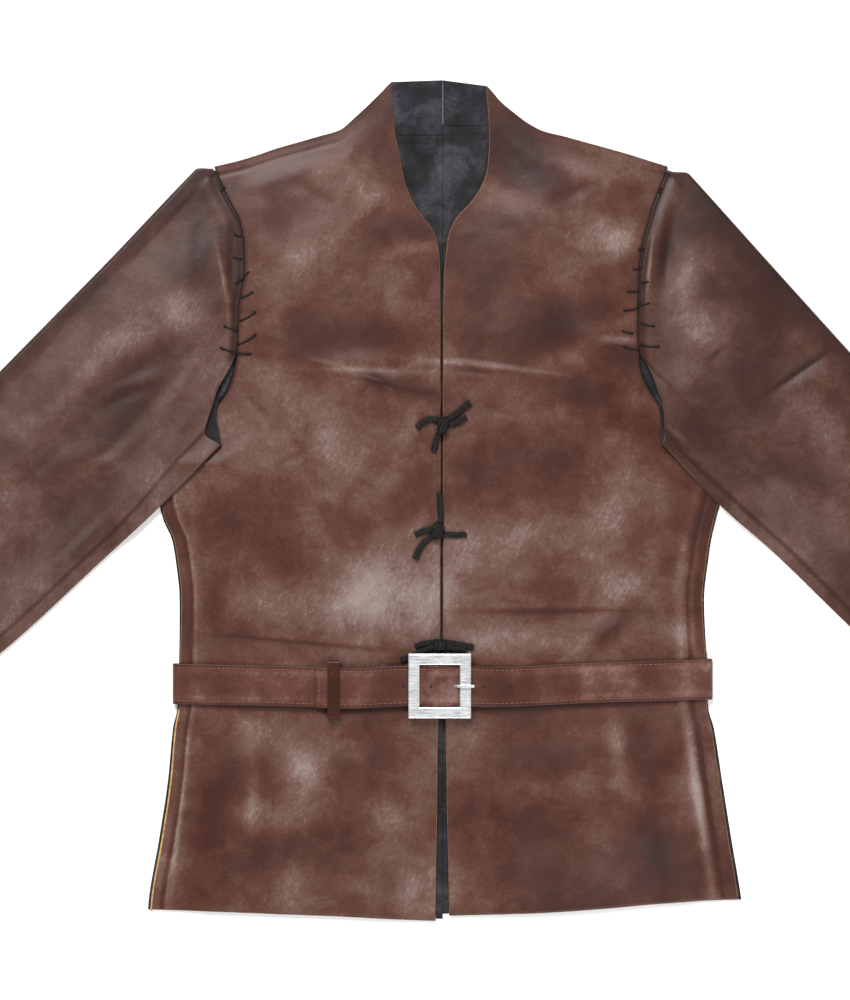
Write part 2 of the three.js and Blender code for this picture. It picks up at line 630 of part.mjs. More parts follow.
// Sleeve: one piece folded along its top edge, with both long edges sewn together as a flange.
function sleeve({ name: side, sign }) {
  const { x: headX, y: headY, slope, length } = SLEEVE[side];
  const { outer: armholeEdge, width, over, under } = PATTERN[side];
  const turn = THREE.MathUtils.degToRad(slope);
  const along = { x: sign * Math.cos(turn), y: -Math.sin(turn) };
  const across = { x: -sign * Math.sin(turn), y: -Math.cos(turn) };
  const place = (s, n) => ({ x: headX + s * along.x + n * across.x, y: headY + s * along.y + n * across.y });
  const local = (x, y) => ({
    s: (x - headX) * along.x + (y - headY) * along.y,
    n: (x - headX) * across.x + (y - headY) * across.y,
  });
  const mouth = (edge, y) => local(sign * (y > SEWN_ABOVE ? armholeEdge(y) + ARM_GAP : edge(y)), y);

  // Underside of the lower layer: on the floor, and over the body at the underarm.
  const lowBottom = (p) => {
    const dx = sign * p.x;
    const inside = armholeEdge(p.y) + 2 - dx;
    const share = (1 - smooth(UNDERARM_MARGIN, UNDERARM_RAMP, -inside)) * plateau(p.y, 97, 140);
    const body = inside > 0 ? hollow(side, sign, dx, p.y) : 0;
    return share * (2 * WALL + GAP + SLEEVE_REST + body);
  };
  const fromMouth = (start, s) => smooth(0, 70, s - start);
  const standOff = (row, start, s, p) => {
    const flange = smooth(SLEEVE_FLANGE, 0.66, row.across);
    const inside = mix(SLEEVE_FOLD_LOFT, sleeveLoft(s), smooth(0, 0.34, row.across));
    const body = (inside + foldHeight(SLEEVE_FOLDS, p.x, p.y) * smooth(0.05, 0.2, row.across)) * flange;
    const edge = row.y > SEWN_ABOVE ? armholeLoft(row.y) : slitOpening(row.y);
    return Math.max(0, mix(edge, body, fromMouth(start, s)));
  };

  const outerGrid = [];
  const innerGrid = [];
  for (const share of SLEEVE_ROWS) {
    const outside = [];
    const inside = [];
    const layerPoint = (row, edge) => {
      const start = mouth(edge, row.y);
      const s = mix(start.s, length, share);
      const drop = sleeveDrop(s);
      const settled = drop + row.across * (width(s) - drop);
      return { s, start: start.s, ...place(s, mix(start.n, settled, smooth(0, 150, s - start.s))) };
    };
    for (const row of [...SLEEVE_COLUMNS].reverse()) {
      const p = layerPoint(row, under);
      const z = lowBottom(p);
      outside.push({ x: p.x, y: p.y, z });
      inside.push({ x: p.x, y: p.y, z: z + WALL });
    }
    const first = SLEEVE_COLUMNS[0];
    const p = layerPoint(first, over);
    const rise = standOff(first, p.start, p.s, p);
    const half = WALL + rise / 2 + GAP / 2;
    const reach = mix(3, half, smooth(0, 30, p.s - p.start));
    for (const angle of [-60, -25, 12, 50]) {
      const a = THREE.MathUtils.degToRad(angle);
      const centre = foldCentre(p, across, reach, width(p.s), first.across, sleeveDrop(p.s));
      const outer = shift(centre, across, -Math.cos(a) * reach);
      const inner = shift(centre, across, -Math.cos(a) * (reach - WALL));
      outside.push({ ...outer, z: half + half * Math.sin(a) });
      inside.push({ ...inner, z: half + (half - WALL) * Math.sin(a) });
    }
    for (const row of SLEEVE_COLUMNS) {
      const q = layerPoint(row, over);
      const z = lowBottom(q) + WALL + GAP + standOff(row, q.start, q.s, q);
      outside.push({ x: q.x, y: q.y, z: z + WALL });
      inside.push({ x: q.x, y: q.y, z });
    }
    outerGrid.push(outside);
    innerGrid.push(inside);
  }
  return sheet(outerGrid, innerGrid);
}

function shift(p, direction, distance) {
  return { x: p.x + direction.x * distance, y: p.y + direction.y * distance };
}

// Middle of the folded edge: from the first column back towards the top edge.
function foldCentre(p, across, reach, width, share, drop) {
  const toEdge = share * (width - drop);
  return shift(p, across, -(toEdge - reach) * smooth(-14, 3, p.s));
}

// Strap of the belt: a flat section carried along a path in the x-z plane, following the belt line.
function strap(path, width, thickness, chamfer) {
  const half = width / 2;
  const h = thickness / 2;
  const section = [
    [half - chamfer, -h],
    [half, -h + chamfer],
    [half, h - chamfer],
    [half - chamfer, h],
    [-half + chamfer, h],
    [-half, h - chamfer],
    [-half, -h + chamfer],
    [-half + chamfer, -h],
  ];
  const count = section.length;
  const positions = [];
  path.forEach((p, i) => {
    const before = path[Math.max(i - 1, 0)];
    const after = path[Math.min(i + 1, path.length - 1)];
    const tangent = new THREE.Vector2(after.x - before.x, after.z - before.z).normalize();
    for (const [y, n] of section) {
      positions.push(p.x - tangent.y * n, beltLine(p.x) + y, p.z + tangent.x * n);
    }
  });
  const faces = [];
  for (let i = 0; i < path.length - 1; i += 1) {
    for (let k = 0; k < count; k += 1) {
      const a = i * count + k;
      const b = i * count + ((k + 1) % count);
      faces.push(a, b, b + count, a, b + count, a + count);
    }
  }
  const last = (path.length - 1) * count;
  for (let k = 1; k < count - 1; k += 1) {
    faces.push(0, k + 1, k);
    faces.push(last, last + k, last + k + 1);
  }
  return solidFrom(positions, faces);
}

function arc(centre, radius, from, to, steps) {
  return Array.from({ length: steps + 1 }, (_, i) => {
    const a = THREE.MathUtils.degToRad(mix(from, to, i / steps));
    return { x: centre.x + radius * Math.cos(a), z: centre.z + radius * Math.sin(a) };
  });
}

function beltPath() {
  const turnRadius = (STRAP_REST - FLOOR_RUN) / 2;
  const turnHeight = (STRAP_REST + FLOOR_RUN) / 2;
  const upper = UPPER_STRAP.map((row) => ({ x: row.x, z: STRAP_REST + STRAP_STEP + row.rise }));
  const lower = LOWER_STRAP.map((row) => ({ x: row.x, z: STRAP_REST + row.rise }));
  const back = [200, 120, 40, -40, -120, -200].map((x) => ({ x, z: FLOOR_RUN }));
  return [
    ...upper,
    ...arc({ x: BELT_TURN.left, z: turnHeight }, turnRadius, 90, -90, 8),
    ...back,
    ...arc({ x: BELT_TURN.right, z: turnHeight }, turnRadius, 270, 90, 8),
    ...lower,
    ...arc({ x: BAR.x, z: BAR_HEIGHT }, EYE_RADIUS, 100, -90, 9),
    { x: BAR.x - 7, z: STRAP_REST },
    { x: BAR.x - 13, z: STRAP_REST },
  ];
}

// A closed geometry as a solid for joining and cutting, and back.
function toSolid(geometry) {
  const bare = geometry.clone();
  bare.deleteAttribute("normal");
  bare.deleteAttribute("uv");
  const merged = mergeVertices(bare, 1e-4);
  const mesh = new wasm.Mesh({
    numProp: 3,
    vertProperties: new Float32Array(merged.getAttribute("position").array),
    triVerts: new Uint32Array(merged.index.array),
  });
  return new wasm.Manifold(mesh);
}

function fromSolid(solid) {
  const { vertProperties, triVerts } = solid.getMesh();
  const geometry = new THREE.BufferGeometry();
  geometry.setAttribute("position", new THREE.BufferAttribute(vertProperties, 3));
  geometry.setIndex(new THREE.BufferAttribute(triVerts, 1));
  return geometry;
}

// An upright cutter.
function upright(radius, height, sides) {
  return new THREE.CylinderGeometry(radius, radius, height, sides).rotateX(Math.PI / 2);
}

function belt() {
  let solid = toSolid(strap(beltPath(), BELT.width, BELT.thickness, 0.5));
  for (const x of STRAP_HOLES) {
    const cut = upright(2, 60, 12).translate(x, beltLine(x), 30 + STRAP_REST + BELT.thickness / 2 + GAP / 2);
    solid = solid.subtract(toSolid(x > 30 ? cut.translate(0, 0, -3.2) : cut));
  }
  const slot = upright(1, 40, 16).scale(PRONG_HOLE.long, PRONG_HOLE.wide, 1);
  solid = solid.subtract(toSolid(slot.translate(PRONG_HOLE.x, beltLine(BAR.x), 20 + STRAP_REST)));
  const eyeSlot = new THREE.BoxGeometry(8, 5, 5.6).translate(BAR.x + 5.6, beltLine(BAR.x), BAR_HEIGHT - 0.4);
  return fromSolid(solid.subtract(toSolid(eyeSlot)));
}

function rectangle(path, left, low, right, high) {
  path.moveTo(left, low);
  path.lineTo(right, low);
  path.lineTo(right, high);
  path.lineTo(left, high);
  path.closePath();
  return path;
}

function buckleFrame() {
  const { left, right, low, high, bar, thickness, bevel } = BUCKLE;
  const shape = rectangle(new THREE.Shape(), left + bevel, low + bevel, right - bevel, high - bevel);
  const inside = bar - bevel;
  shape.holes.push(rectangle(new THREE.Path(), left + inside, low + inside, right - inside, high - inside));
  const ring = new THREE.ExtrudeGeometry(shape, {
    depth: thickness - 2 * bevel,
    bevelSize: bevel,
    bevelThickness: bevel,
    bevelSegments: 2,
  }).translate(0, 0, BUCKLE_BOTTOM + bevel);
  const middle = (low + high) / 2;
  const barLength = high - low - 12;
  const rod = new THREE.CylinderGeometry(BAR.radius, BAR.radius, barLength, 12);
  rod.translate(BAR.x, middle, BAR_HEIGHT);
  let solid = toSolid(ring).add(toSolid(rod));
  for (const y of [low + 7.6, high - 7.6]) {
    const lug = new THREE.BoxGeometry(3.6, 3.6, 4.4).translate(BAR.x, y, BAR_HEIGHT + 1.6);
    solid = solid.add(toSolid(lug));
  }
  return fromSolid(solid);
}

// Prong: from the middle bar, up through its hole in the strap, and over the far bar.
function buckleProng() {
  const y = beltLine(BAR.x);
  const over = BUCKLE_BOTTOM + BUCKLE.thickness + GAP + 1.6;
  const points = [
    [BAR.x + BAR.radius + GAP + 0.1, BAR_HEIGHT + 0.1],
    [3, BAR_HEIGHT + 0.1],
    [8.5, BAR_HEIGHT + 0.2],
    [12.2, BAR_HEIGHT + 2.2],
    [14.6, over - 2.6],
    [17.2, over],
    [22, over + 0.1],
    [31.5, over],
  ].map(([x, z]) => new THREE.Vector3(x, y, z));
  return tube(points, 1.55, 10, 22);
}

// A round or faceted rod along a smooth curve.
function tube(points, radius, sides, steps) {
  const section = new THREE.Shape();
  for (let k = 0; k < sides; k += 1) {
    const a = (2 * Math.PI * k) / sides;
    if (k === 0) section.moveTo(radius, 0);
    else section.lineTo(radius * Math.cos(a), radius * Math.sin(a));
  }
  section.closePath();
  const curve = new THREE.CatmullRomCurve3(points, false, "centripetal");
  return new THREE.ExtrudeGeometry(section, { steps, extrudePath: curve, bevelEnabled: false });
}

function roundedRectangle(path, low, bottom, high, top, r) {
  path.moveTo(low + r, bottom);
  path.lineTo(high - r, bottom);
  path.absarc(high - r, bottom + r, r, -Math.PI / 2, 0, false);
  path.lineTo(high, top - r);
  path.absarc(high - r, top - r, r, 0, Math.PI / 2, false);
  path.lineTo(low + r, top);
  path.absarc(low + r, top - r, r, Math.PI / 2, Math.PI, false);
  path.lineTo(low, bottom + r);
  path.absarc(low + r, bottom + r, r, Math.PI, 1.5 * Math.PI, false);
  return path;
}

function beltKeeper() {
  const { x, width, low, high, wall, corner } = KEEPER;
  const bottom = FRONT_TOP + GAP;
  const inside = STRAP_REST + 1.9 - BELT.thickness / 2 - GAP;
  const top = STRAP_REST + 1.9 + STRAP_STEP + BELT.thickness / 2 + GAP + wall;
  const shape = roundedRectangle(new THREE.Shape(), low, bottom, high, top, corner);
  const r = corner - wall / 2;
  const hole = roundedRectangle(new THREE.Path(), low + wall, inside, high - wall, top - wall, r);
  shape.holes.push(hole);
  const geometry = new THREE.ExtrudeGeometry(shape, { depth: width, bevelEnabled: false, curveSegments: 4 });
  const basis = new THREE.Matrix4().makeBasis(
    new THREE.Vector3(0, 1, 0),
    new THREE.Vector3(0, 0, 1),
    new THREE.Vector3(1, 0, 0),
  );
  return geometry.applyMatrix4(basis).translate(x, 0, 0);
}

// Height of the outside of the fronts at a point near the centre line.
function outsideHeight(x, y) {
  const { name, sign } = SIDES[x >= 0 ? 0 : 1];
  const dx = Math.max(Math.abs(x), PATTERN[name].front(y));
  return frontBottom(name, sign, dx, y) + WALL;
}

// Highest outside of the fronts at eight points round a place.
function highestAround(x, y, reach) {
  let height = 0;
  for (let a = 0; a < 8; a += 1) {
    const turn = (a * Math.PI) / 4;
    height = Math.max(height, outsideHeight(x + reach * Math.cos(turn), y + reach * Math.sin(turn)));
  }
  return height;
}

function thong(route) {
  const radius = THONG.diameter / 2;
  const points = route.map(([x, y]) => new THREE.Vector3(x, y, highestAround(x, y, 4) + GAP + 0.1 + radius));
  return tube(points, radius, THONG.sides, 12);
}

function knot({ x, y, wide, high, thick }) {
  const bottom = highestAround(x, y, 4) + 2 * GAP + 0.15 + THONG.diameter;
  const geometry = new THREE.SphereGeometry(0.5, 12, 8).rotateX(Math.PI / 2).scale(wide, high, thick);
  return geometry.translate(x, y, bottom + thick / 2);
}

function leather(colour, roughness) {
  return new THREE.MeshStandardMaterial({ color: colour, roughness, metalness: 0 });
}

const garment = new THREE.Group();

function add(name, geometry, material) {
  const mesh = new THREE.Mesh(geometry, material);
  mesh.name = name;
  garment.add(mesh);
}

for (const side of SIDES) {
  add(`front_${side.name}`, frontPanel(side), leather("#74524c", 0.5));
  add(`back_${side.name}`, backPanel(side), leather("#6c4a44", 0.55));
  add(`neck_band_${side.name}`, neckBand(side), leather("#3e3d3f", 0.8));
  add(`sleeve_${side.name}`, sleeve(side), leather("#70554f", 0.5));
}
add("belt", belt(), leather("#6b4a46", 0.45));
add("belt_keeper", beltKeeper(), leather("#684641", 0.45));
const steel = new THREE.MeshStandardMaterial({ color: "#b4b6b8", roughness: 0.35, metalness: 1 });
add("buckle_frame", buckleFrame(), steel);
add("buckle_prong", buckleProng(), steel.clone());
for (const [name, tie] of Object.entries(TIES)) {
  add(`tie_${name}_knot`, knot(tie.knot), leather("#272222", 0.7));
  add(`tie_${name}_thong_upper`, thong(tie.upper), leather("#272222", 0.7));
  add(`tie_${name}_thong_lower`, thong(tie.lower), leather("#272222", 0.7));
}

// The origin is on the floor under the middle of the laid-out jacket.
const middle = new THREE.Box3().setFromObject(garment).getCenter(new THREE.Vector3());
garment.position.set(-middle.x, -middle.y, 0);

export default garment;
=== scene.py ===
from math import cos, pi, radians, sin

import bpy
import numpy as np
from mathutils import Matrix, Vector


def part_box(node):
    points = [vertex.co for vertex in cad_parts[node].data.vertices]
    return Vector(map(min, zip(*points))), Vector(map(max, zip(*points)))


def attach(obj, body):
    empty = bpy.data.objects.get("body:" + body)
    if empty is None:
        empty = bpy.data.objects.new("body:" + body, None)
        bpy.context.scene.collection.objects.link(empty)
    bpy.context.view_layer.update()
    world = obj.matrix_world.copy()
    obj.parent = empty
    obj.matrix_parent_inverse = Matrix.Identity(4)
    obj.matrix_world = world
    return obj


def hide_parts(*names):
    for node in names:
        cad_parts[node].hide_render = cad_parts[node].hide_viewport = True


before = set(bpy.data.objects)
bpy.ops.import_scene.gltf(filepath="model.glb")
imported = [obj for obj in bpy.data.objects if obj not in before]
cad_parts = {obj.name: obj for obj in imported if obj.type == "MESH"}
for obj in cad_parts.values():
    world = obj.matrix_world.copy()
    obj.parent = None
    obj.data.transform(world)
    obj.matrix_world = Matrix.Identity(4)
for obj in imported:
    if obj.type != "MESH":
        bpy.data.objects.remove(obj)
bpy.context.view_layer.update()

# A belted leather jacket laid flat on its back. Lengths are millimetres in the pattern's own plane:
# the centre front is x = 0, the wearer's left is +x, the collar is towards +y and z is up. A mesh is
# turned to metres, and moved to where the frame has the buckle, when it is made.

MM = 0.001
# Low left corner of the buckle's frame in the pattern's plane.
BUCKLE_CORNER = np.array([-32.4, -211.9])
SHIFT = np.append(np.array(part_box("buckle_frame")[0])[:2] / MM - BUCKLE_CORNER, 0.0)

# Thickness of the hide, gap between layers, and gap between a sleeve's mouth and the armhole.
WALL = 1.6
GAP = 0.3
ARM_GAP = 0.4
# The strap, the slack of the fronts under it, and how far from its middle it presses them flat and
# raises the back.
BELT = {"width": 39.4, "thick": 2.4, "sag": 1.2, "flat": 31, "lift_flat": 24, "lift_end": 56}
# Where the armhole starts and ends.
UNDERARM = 35.0
ARM_TOP = 323.5
SIGN = {"left": 1.0, "right": -1.0}


# ---------------------------------------------------------------- tables of the cut

def table(names, *rows):
    """Rows of numbers as named columns."""
    return dict(zip(names.split(), np.array(rows, float).T))


def curve(rows, key, value):
    """Piecewise cubic of one column against another, with harmonic mean slopes, so it never
    overshoots, and flat beyond its ends."""
    at, to = rows[key], rows[value]
    rise = np.diff(to) / np.diff(at)
    slope = np.zeros(len(at))
    same = rise[:-1] * rise[1:] > 0
    both = np.where(same, rise[:-1] + rise[1:], 1.0)
    slope[1:-1] = np.where(same, 2 * rise[:-1] * rise[1:] / both, 0.0)
    slope[0], slope[-1] = rise[0], rise[-1]

    def value_at(t):
        """Cubic between the two rows on both sides of t."""
        t = np.clip(np.asarray(t, float), at[0], at[-1])
        i = np.clip(np.searchsorted(at, t, side="right") - 1, 0, len(at) - 2)
        width = at[i + 1] - at[i]
        k = (t - at[i]) / width
        start = to[i] * (1 + 2 * k) + width * slope[i] * k
        end = to[i + 1] * (3 - 2 * k) - width * slope[i + 1] * (1 - k)
        return start * (1 - k) ** 2 + end * k**2

    return value_at


FRONT_EDGE = table(
    "y left right",
    (-407, 7.3, 5.8), (-300, 5.0, 4.3), (-214, 3.4, 3.1), (-170, 1.2, 1.2), (100, 1.0, 1.0),
    (213, 1.8, 1.2), (236, 3.8, 2.0), (254, 5.8, 5.0), (264, 9.0, 10.0), (275, 15.0, 18.5),
    (288, 27.5, 27.0), (305, 38.5, 34.5), (320, 44.0, 38.0), (350, 46.2, 44.0), (379, 44.8, 48.0),
    (402, 43.0, 48.6), (406, 42.8, 48.5),
)
SIDE_SEAM = table(
    "y left right under",
    (-400, 290.0, 283.0, 2.6), (-388, 288.6, 282.0, 2.6), (-330, 279.0, 272.0, 2.6),
    (-272, 270.0, 263.5, 2.4), (-222, 262.5, 259.0, 2.0), (-203, 258.0, 255.5, 1.0),
    (-178, 256.8, 254.4, 0.9), (-152, 256.2, 254.0, 0.9), (-97, 253.5, 253.2, 1.6),
    (-59, 257.5, 257.0, 1.6), (-39, 260.5, 260.5, 1.6), (-20, 265.0, 269.0, 1.6),
    (10, 273.0, 275.5, 1.6), (35, 280.0, 280.0, 1.6),
)
ARMHOLE = table(
    "y left right",
    (35, 280.0, 280.0), (48, 256.0, 259.0), (66, 233.0, 239.0), (80, 219.0, 227.0),
    (95, 208.5, 215.0), (106, 202.0, 208.0), (118, 195.8, 203.5), (132, 192.0, 200.0),
    (145, 191.4, 198.8), (168, 190.6, 197.8), (193, 191.0, 196.0), (222, 191.6, 191.4),
    (246, 194.4, 191.8), (270, 201.0, 196.0), (288, 206.5, 205.0), (304, 212.8, 213.0),
    (318, 218.0, 219.0), (323.5, 219.5, 221.0),
)
SHOULDER = table(
    "x left right",
    (44, 402.0, 408.0), (49, 396.5, 405.5), (57, 387.0, 397.5), (70, 376.0, 384.5),
    (84, 365.5, 371.5), (99, 357.8, 359.0), (119, 352.8, 353.0), (140, 347.0, 347.0),
    (161, 341.2, 341.0), (180, 335.8, 334.4), (200, 329.4, 328.4), (221, 322.8, 323.5),
)
HEM = table(
    "x left right",
    (0, -405.0, -410.0), (50, -403.5, -408.0), (95, -402.0, -405.5), (160, -397.5, -403.0),
    (212, -393.0, -401.0), (270, -389.5, -399.2), (290, -389.0, -398.6),
)
FRONT_LOFT = table(
    "y loft",
    (-407, 6.5), (-320, 8.5), (-240, 6.5), (-120, 6.5), (0, 9.0), (120, 11.5), (220, 10.0),
    (300, 7.0), (406, 1.5),
)
ARMHOLE_LOFT = table(
    "y loft",
    (35, 0), (95, 0), (106, 0.5), (118, 2.0), (132, 4.5), (145, 6.0), (200, 7.5), (270, 6.0),
    (304, 3.0), (323.5, 1.2),
)
BELT_LINE = table(
    "x y",
    (-262, -179.0), (-162, -181.0), (-88, -183.0), (-26, -180.6), (20, -180.6), (48, -182.0),
    (143, -178.0), (262, -174.5),
)
TIP = {"left": (42.9, 402.2), "right": (48.5, 406.0)}
NECK_SEAM = {"left": 363.0, "right": 354.0}
NECK_TOP = 407.5
CENTRE_BACK = {"x": 1.0, "half": 0.15}

# Large folds, as in the solids, then the smaller creases pressed into the leather: middle, half
# length, half width, height and turn from +x in degrees.
BODY_FOLDS = table(
    "x y long wide high turn",
    (-68, 131, 42, 11, 2.6, 0), (-60, 113, 30, 8, -2.4, -28), (160, 158, 34, 10, 2.4, -8),
    (-130, 235, 60, 16, 1.8, 62), (120, 245, 62, 16, 1.8, -58), (95, 60, 60, 14, -1.6, 24),
    (-150, 20, 64, 14, 1.6, -30), (-128, -128, 70, 9, -1.2, -5), (130, -118, 60, 10, 1.3, 8),
    (-150, -300, 80, 18, 1.8, 80), (140, -310, 80, 18, 1.8, -82),
)
BODY_CREASES = table(
    "x y long wide high turn",
    (-112, 131, 20, 2.6, 0.8, -12), (-72, 124.5, 34, 2.4, 1.5, -3), (-32, 128, 18, 2.4, 1.3, 20),
    (-10, 132.5, 12, 2.2, 1.2, 0), (12, 133, 16, 2.2, 1.2, -4), (50, 128.5, 34, 2.2, 1.2, -8),
    (96, 121.5, 26, 2.6, 0.9, -8), (-57, 112.5, 14, 3.2, -1.6, -20), (-20, 104, 20, 3.6, -1.2, -14),
    (-80, 117, 24, 3.0, -0.6, -8), (30, 124, 26, 3.0, -0.7, -6), (174, 155.2, 20, 2.0, 1.4, -3),
    (176, 149, 18, 3.0, -0.9, -4), (-140, -139, 104, 1.8, -0.9, -5), (92, -109, 96, 1.8, -0.9, 1),
    (160, -133, 34, 6.0, -1.2, 54), (150, -80, 9, 1.5, -0.8, 70), (158, -69, 8, 1.5, -0.8, 30),
    (-149, 44, 15, 2.4, 0.9, 30), (-146, 40, 15, 2.4, -0.8, 30), (-187, -240, 40, 7.0, 0.8, 80),
    (-184, -296, 34, 5.0, 0.9, 84), (171, -240, 40, 7.0, 1.0, 96), (-150, -330, 50, 8.0, -0.8, 70),
    (208, -340, 50, 9.0, -0.9, 97), (-170, 160, 30, 6.0, 0.6, -20), (-185, 96, 26, 5.0, -0.8, -48),
    (182, 92, 28, 5.0, -0.8, 46), (168, 54, 40, 7.0, 0.8, 36), (-40, 40, 50, 8.0, 0.6, 70),
    (36, 20, 60, 8.0, -0.6, 84), (-100, -20, 60, 9.0, 0.6, 22), (110, -30, 60, 9.0, -0.6, -22),
    (-196, -60, 50, 6.0, 0.7, 74), (206, -52, 50, 6.0, 0.7, -74), (96, -246, 44, 6.0, -0.7, -60),
    (-60, -330, 70, 9.0, 0.6, 84), (50, -320, 70, 9.0, -0.6, 92), (-132, 300, 34, 6.0, -0.6, -28),
    (130, 298, 34, 6.0, -0.6, 26), (-86, 268, 40, 7.0, 0.7, 48), (84, 262, 40, 7.0, 0.7, -50),
    (168, 236, 34, 6.0, 0.8, -82), (-66, 340, 34, 6.0, 0.5, 70), (66, 336, 34, 6.0, -0.7, -52),
    (-118, 78, 30, 3.6, 0.5, 16), (60, 84, 34, 3.6, -0.5, -18), (-20, -60, 30, 4.0, -0.5, 30),
    (22, -76, 30, 4.0, -0.5, -24), (-86, 20, 26, 3.6, -0.5, -18), (84, -4, 30, 3.6, 0.5, 14),
)
SLEEVE_FOLDS = table(
    "x y long wide high turn",
    (348, 125, 34, 7, -2.6, 34), (219, 240, 34, 8, -2.2, 84), (300, 60, 44, 12, 2.0, -20),
    (-212, 212, 40, 7, 2.4, -80), (-300, 120, 50, 13, -2.0, 40), (-352, 40, 52, 14, 1.8, 20),
    (460, -40, 50, 14, -1.8, 40), (-480, -50, 50, 14, -1.8, -44),
)
SLEEVE_CREASES = table(
    "x y long wide high turn",
    (348, 125, 38, 2.4, -1.5, 34), (346, 131, 32, 4.0, 0.7, 34), (266, 141, 9, 2.0, -1.3, 40),
    (229, 62, 14, 3.5, 1.3, -36), (201, 225, 34, 2.4, 1.6, 84), (219, 238, 32, 5.0, -1.3, 84),
    (236, 215, 30, 6.0, 0.6, 80), (250, 170, 34, 7.0, 0.6, 62), (238, 190, 9, 1.6, -0.6, 82),
    (292, 34, 40, 6.0, 0.9, -30), (372, 70, 44, 6.0, 0.8, -34), (356, 20, 44, 6.0, -0.8, -30),
    (282, 206, 36, 6.0, 0.8, -42), (-212, 216, 32, 2.6, 1.8, -80), (-203, 228, 36, 4.0, -1.8, 92),
    (-230, 314, 9, 1.6, -2.4, 78), (-237, 244, 30, 6.0, -0.5, 84), (-303, 101, 34, 5.0, -0.6, 20),
    (-303, 111, 30, 6.0, 0.6, 20), (-206, 172, 14, 2.6, 1.0, -84), (-262, 96, 44, 6.0, 0.9, 58),
    (-254, 190, 30, 7.0, 0.7, 66), (-306, 176, 50, 8.0, -0.7, 44), (-330, 96, 46, 7.0, 0.7, 30),
    (-302, 40, 44, 6.0, -0.8, 34), (-366, 96, 46, 7.0, 0.8, 52), (-390, 30, 44, 6.0, -0.8, 40),
    (-350, -34, 40, 6.0, 0.8, 46), (-430, 20, 50, 8.0, 0.8, 48), (-460, -90, 40, 7.0, 0.7, 36),
    (430, -60, 46, 7.0, 0.8, -40), (400, 10, 44, 6.0, -0.7, -50), (520, -130, 46, 7.0, -0.8, -44),
    (-540, -110, 46, 7.0, -0.8, 44), (560, -170, 40, 7.0, 0.8, -40), (-590, -160, 40, 7.0, 0.8, 50),
)
CREASE_FADE = 1.5  # a fold fades out this many half lengths from its middle

# The hollow between back and front: its share at the front edge and at the hem, and how far it
# takes to reach its full height from the front edge, the hem, the shoulder, the belt and the side.
HOLLOW = {
    "at_front": 0.28, "from_front": 80, "at_hem": 0.55, "from_hem": 90, "folds_from_front": 30,
    "from_shoulder": 34, "from_belt": 84, "flange": 14, "flange_ends": (60, 110), "from_side": 55,
}

# Waves of hand-worked leather: size, height, stretch and turn.
WAVES = ((46, 0.55, 1.7, 35), (21, 0.28, 1.6, -30), (9, 0.12, 1.8, 20))
RIPPLE_CELLS = 64
RIPPLE_OFFSET = 500.0

belt_line = curve(BELT_LINE, "x", "y")
front_loft = curve(FRONT_LOFT, "y", "loft")
armhole_loft = curve(ARMHOLE_LOFT, "y", "loft")
back_beyond = curve(SIDE_SEAM, "y", "under")


def smooth(start, end, t):
    """Cubic step from 0 at start to 1 at end, either way round."""
    k = np.clip((np.asarray(t, float) - start) / (end - start), 0, 1)
    return k * k * (3 - 2 * k)


def plateau(distance, flat, end):
    """1 out to flat, then falling to 0 at end."""
    return 1 - smooth(flat, end, distance)


def mix(a, b, share):
    """From a at share 0 to b at share 1, in a straight line."""
    return a + (b - a) * share


def bell(distance, width):
    """1 at distance 0, falling off as a bell of the given half width."""
    return np.exp(-((distance / width) ** 2))


class Side:
    """The curves of one side of the jacket, by distance from the centre line."""

    def __init__(self, name):
        """Reads the side's columns."""
        self.name = name
        self.sign = SIGN[name]
        self.front = curve(FRONT_EDGE, "y", name)
        self.seam = curve(SIDE_SEAM, "y", name)
        self.armhole = curve(ARMHOLE, "y", name)
        self.shoulder = curve(SHOULDER, "x", name)
        self.hem = curve(HEM, "x", name)

    def outer(self, y):
        """Side seam below the underarm, armhole above it."""
        return np.where(np.asarray(y) < UNDERARM, self.seam(y), self.armhole(y))


SIDES = {name: Side(name) for name in SIGN}


def folds(rows, x, y):
    """Sum of long bell-shaped ridges or troughs: height times a bell across times a fade along."""
    height = np.zeros(np.broadcast(x, y).shape)
    for fx, fy, long, wide, high, turn in zip(*rows.values()):
        c, s = cos(radians(turn)), sin(radians(turn))
        along = (x - fx) * c + (y - fy) * s
        across = (y - fy) * c - (x - fx) * s
        fade = plateau(np.abs(along), 0, long * CREASE_FADE)
        height += high * fade * bell(across, wide)
    return height


def ripple(x, y, size, seed, stretch=1.0, turn=0.0):
    """Smooth random height between -1 and 1: random values on a grid of the given size, joined by
    cubic steps, optionally stretched along a direction."""
    c, s = cos(radians(turn)), sin(radians(turn))
    u = ((x * c + y * s) / (size * stretch)) + RIPPLE_OFFSET
    v = ((y * c - x * s) / size) + RIPPLE_OFFSET
    cells = RIPPLE_CELLS
    values = np.random.default_rng(seed).uniform(-1, 1, (cells, cells))
    i, j = np.floor(u).astype(int), np.floor(v).astype(int)
    fu, fv = smooth(0, 1, u - i), smooth(0, 1, v - j)
    low = mix(values[i % cells, j % cells], values[(i + 1) % cells, j % cells], fu)
    high = mix(values[i % cells, (j + 1) % cells], values[(i + 1) % cells, (j + 1) % cells], fu)
    return mix(low, high, fv)


def waves(x, y, seed):
    """Uneven shallow waves of hand-worked leather: ripples of three sizes, added."""
    return sum(
        high * ripple(x, y, size, seed + number, stretch, turn)
        for number, (size, high, stretch, turn) in enumerate(WAVES)
    )


def back_bottom(x, y):
    """Underside of the back: on the floor, and raised over the belt's back run."""
    lift = plateau(np.abs(y - belt_line(x)), BELT["lift_flat"], BELT["lift_end"])
    return (BELT["thick"] + GAP) * lift


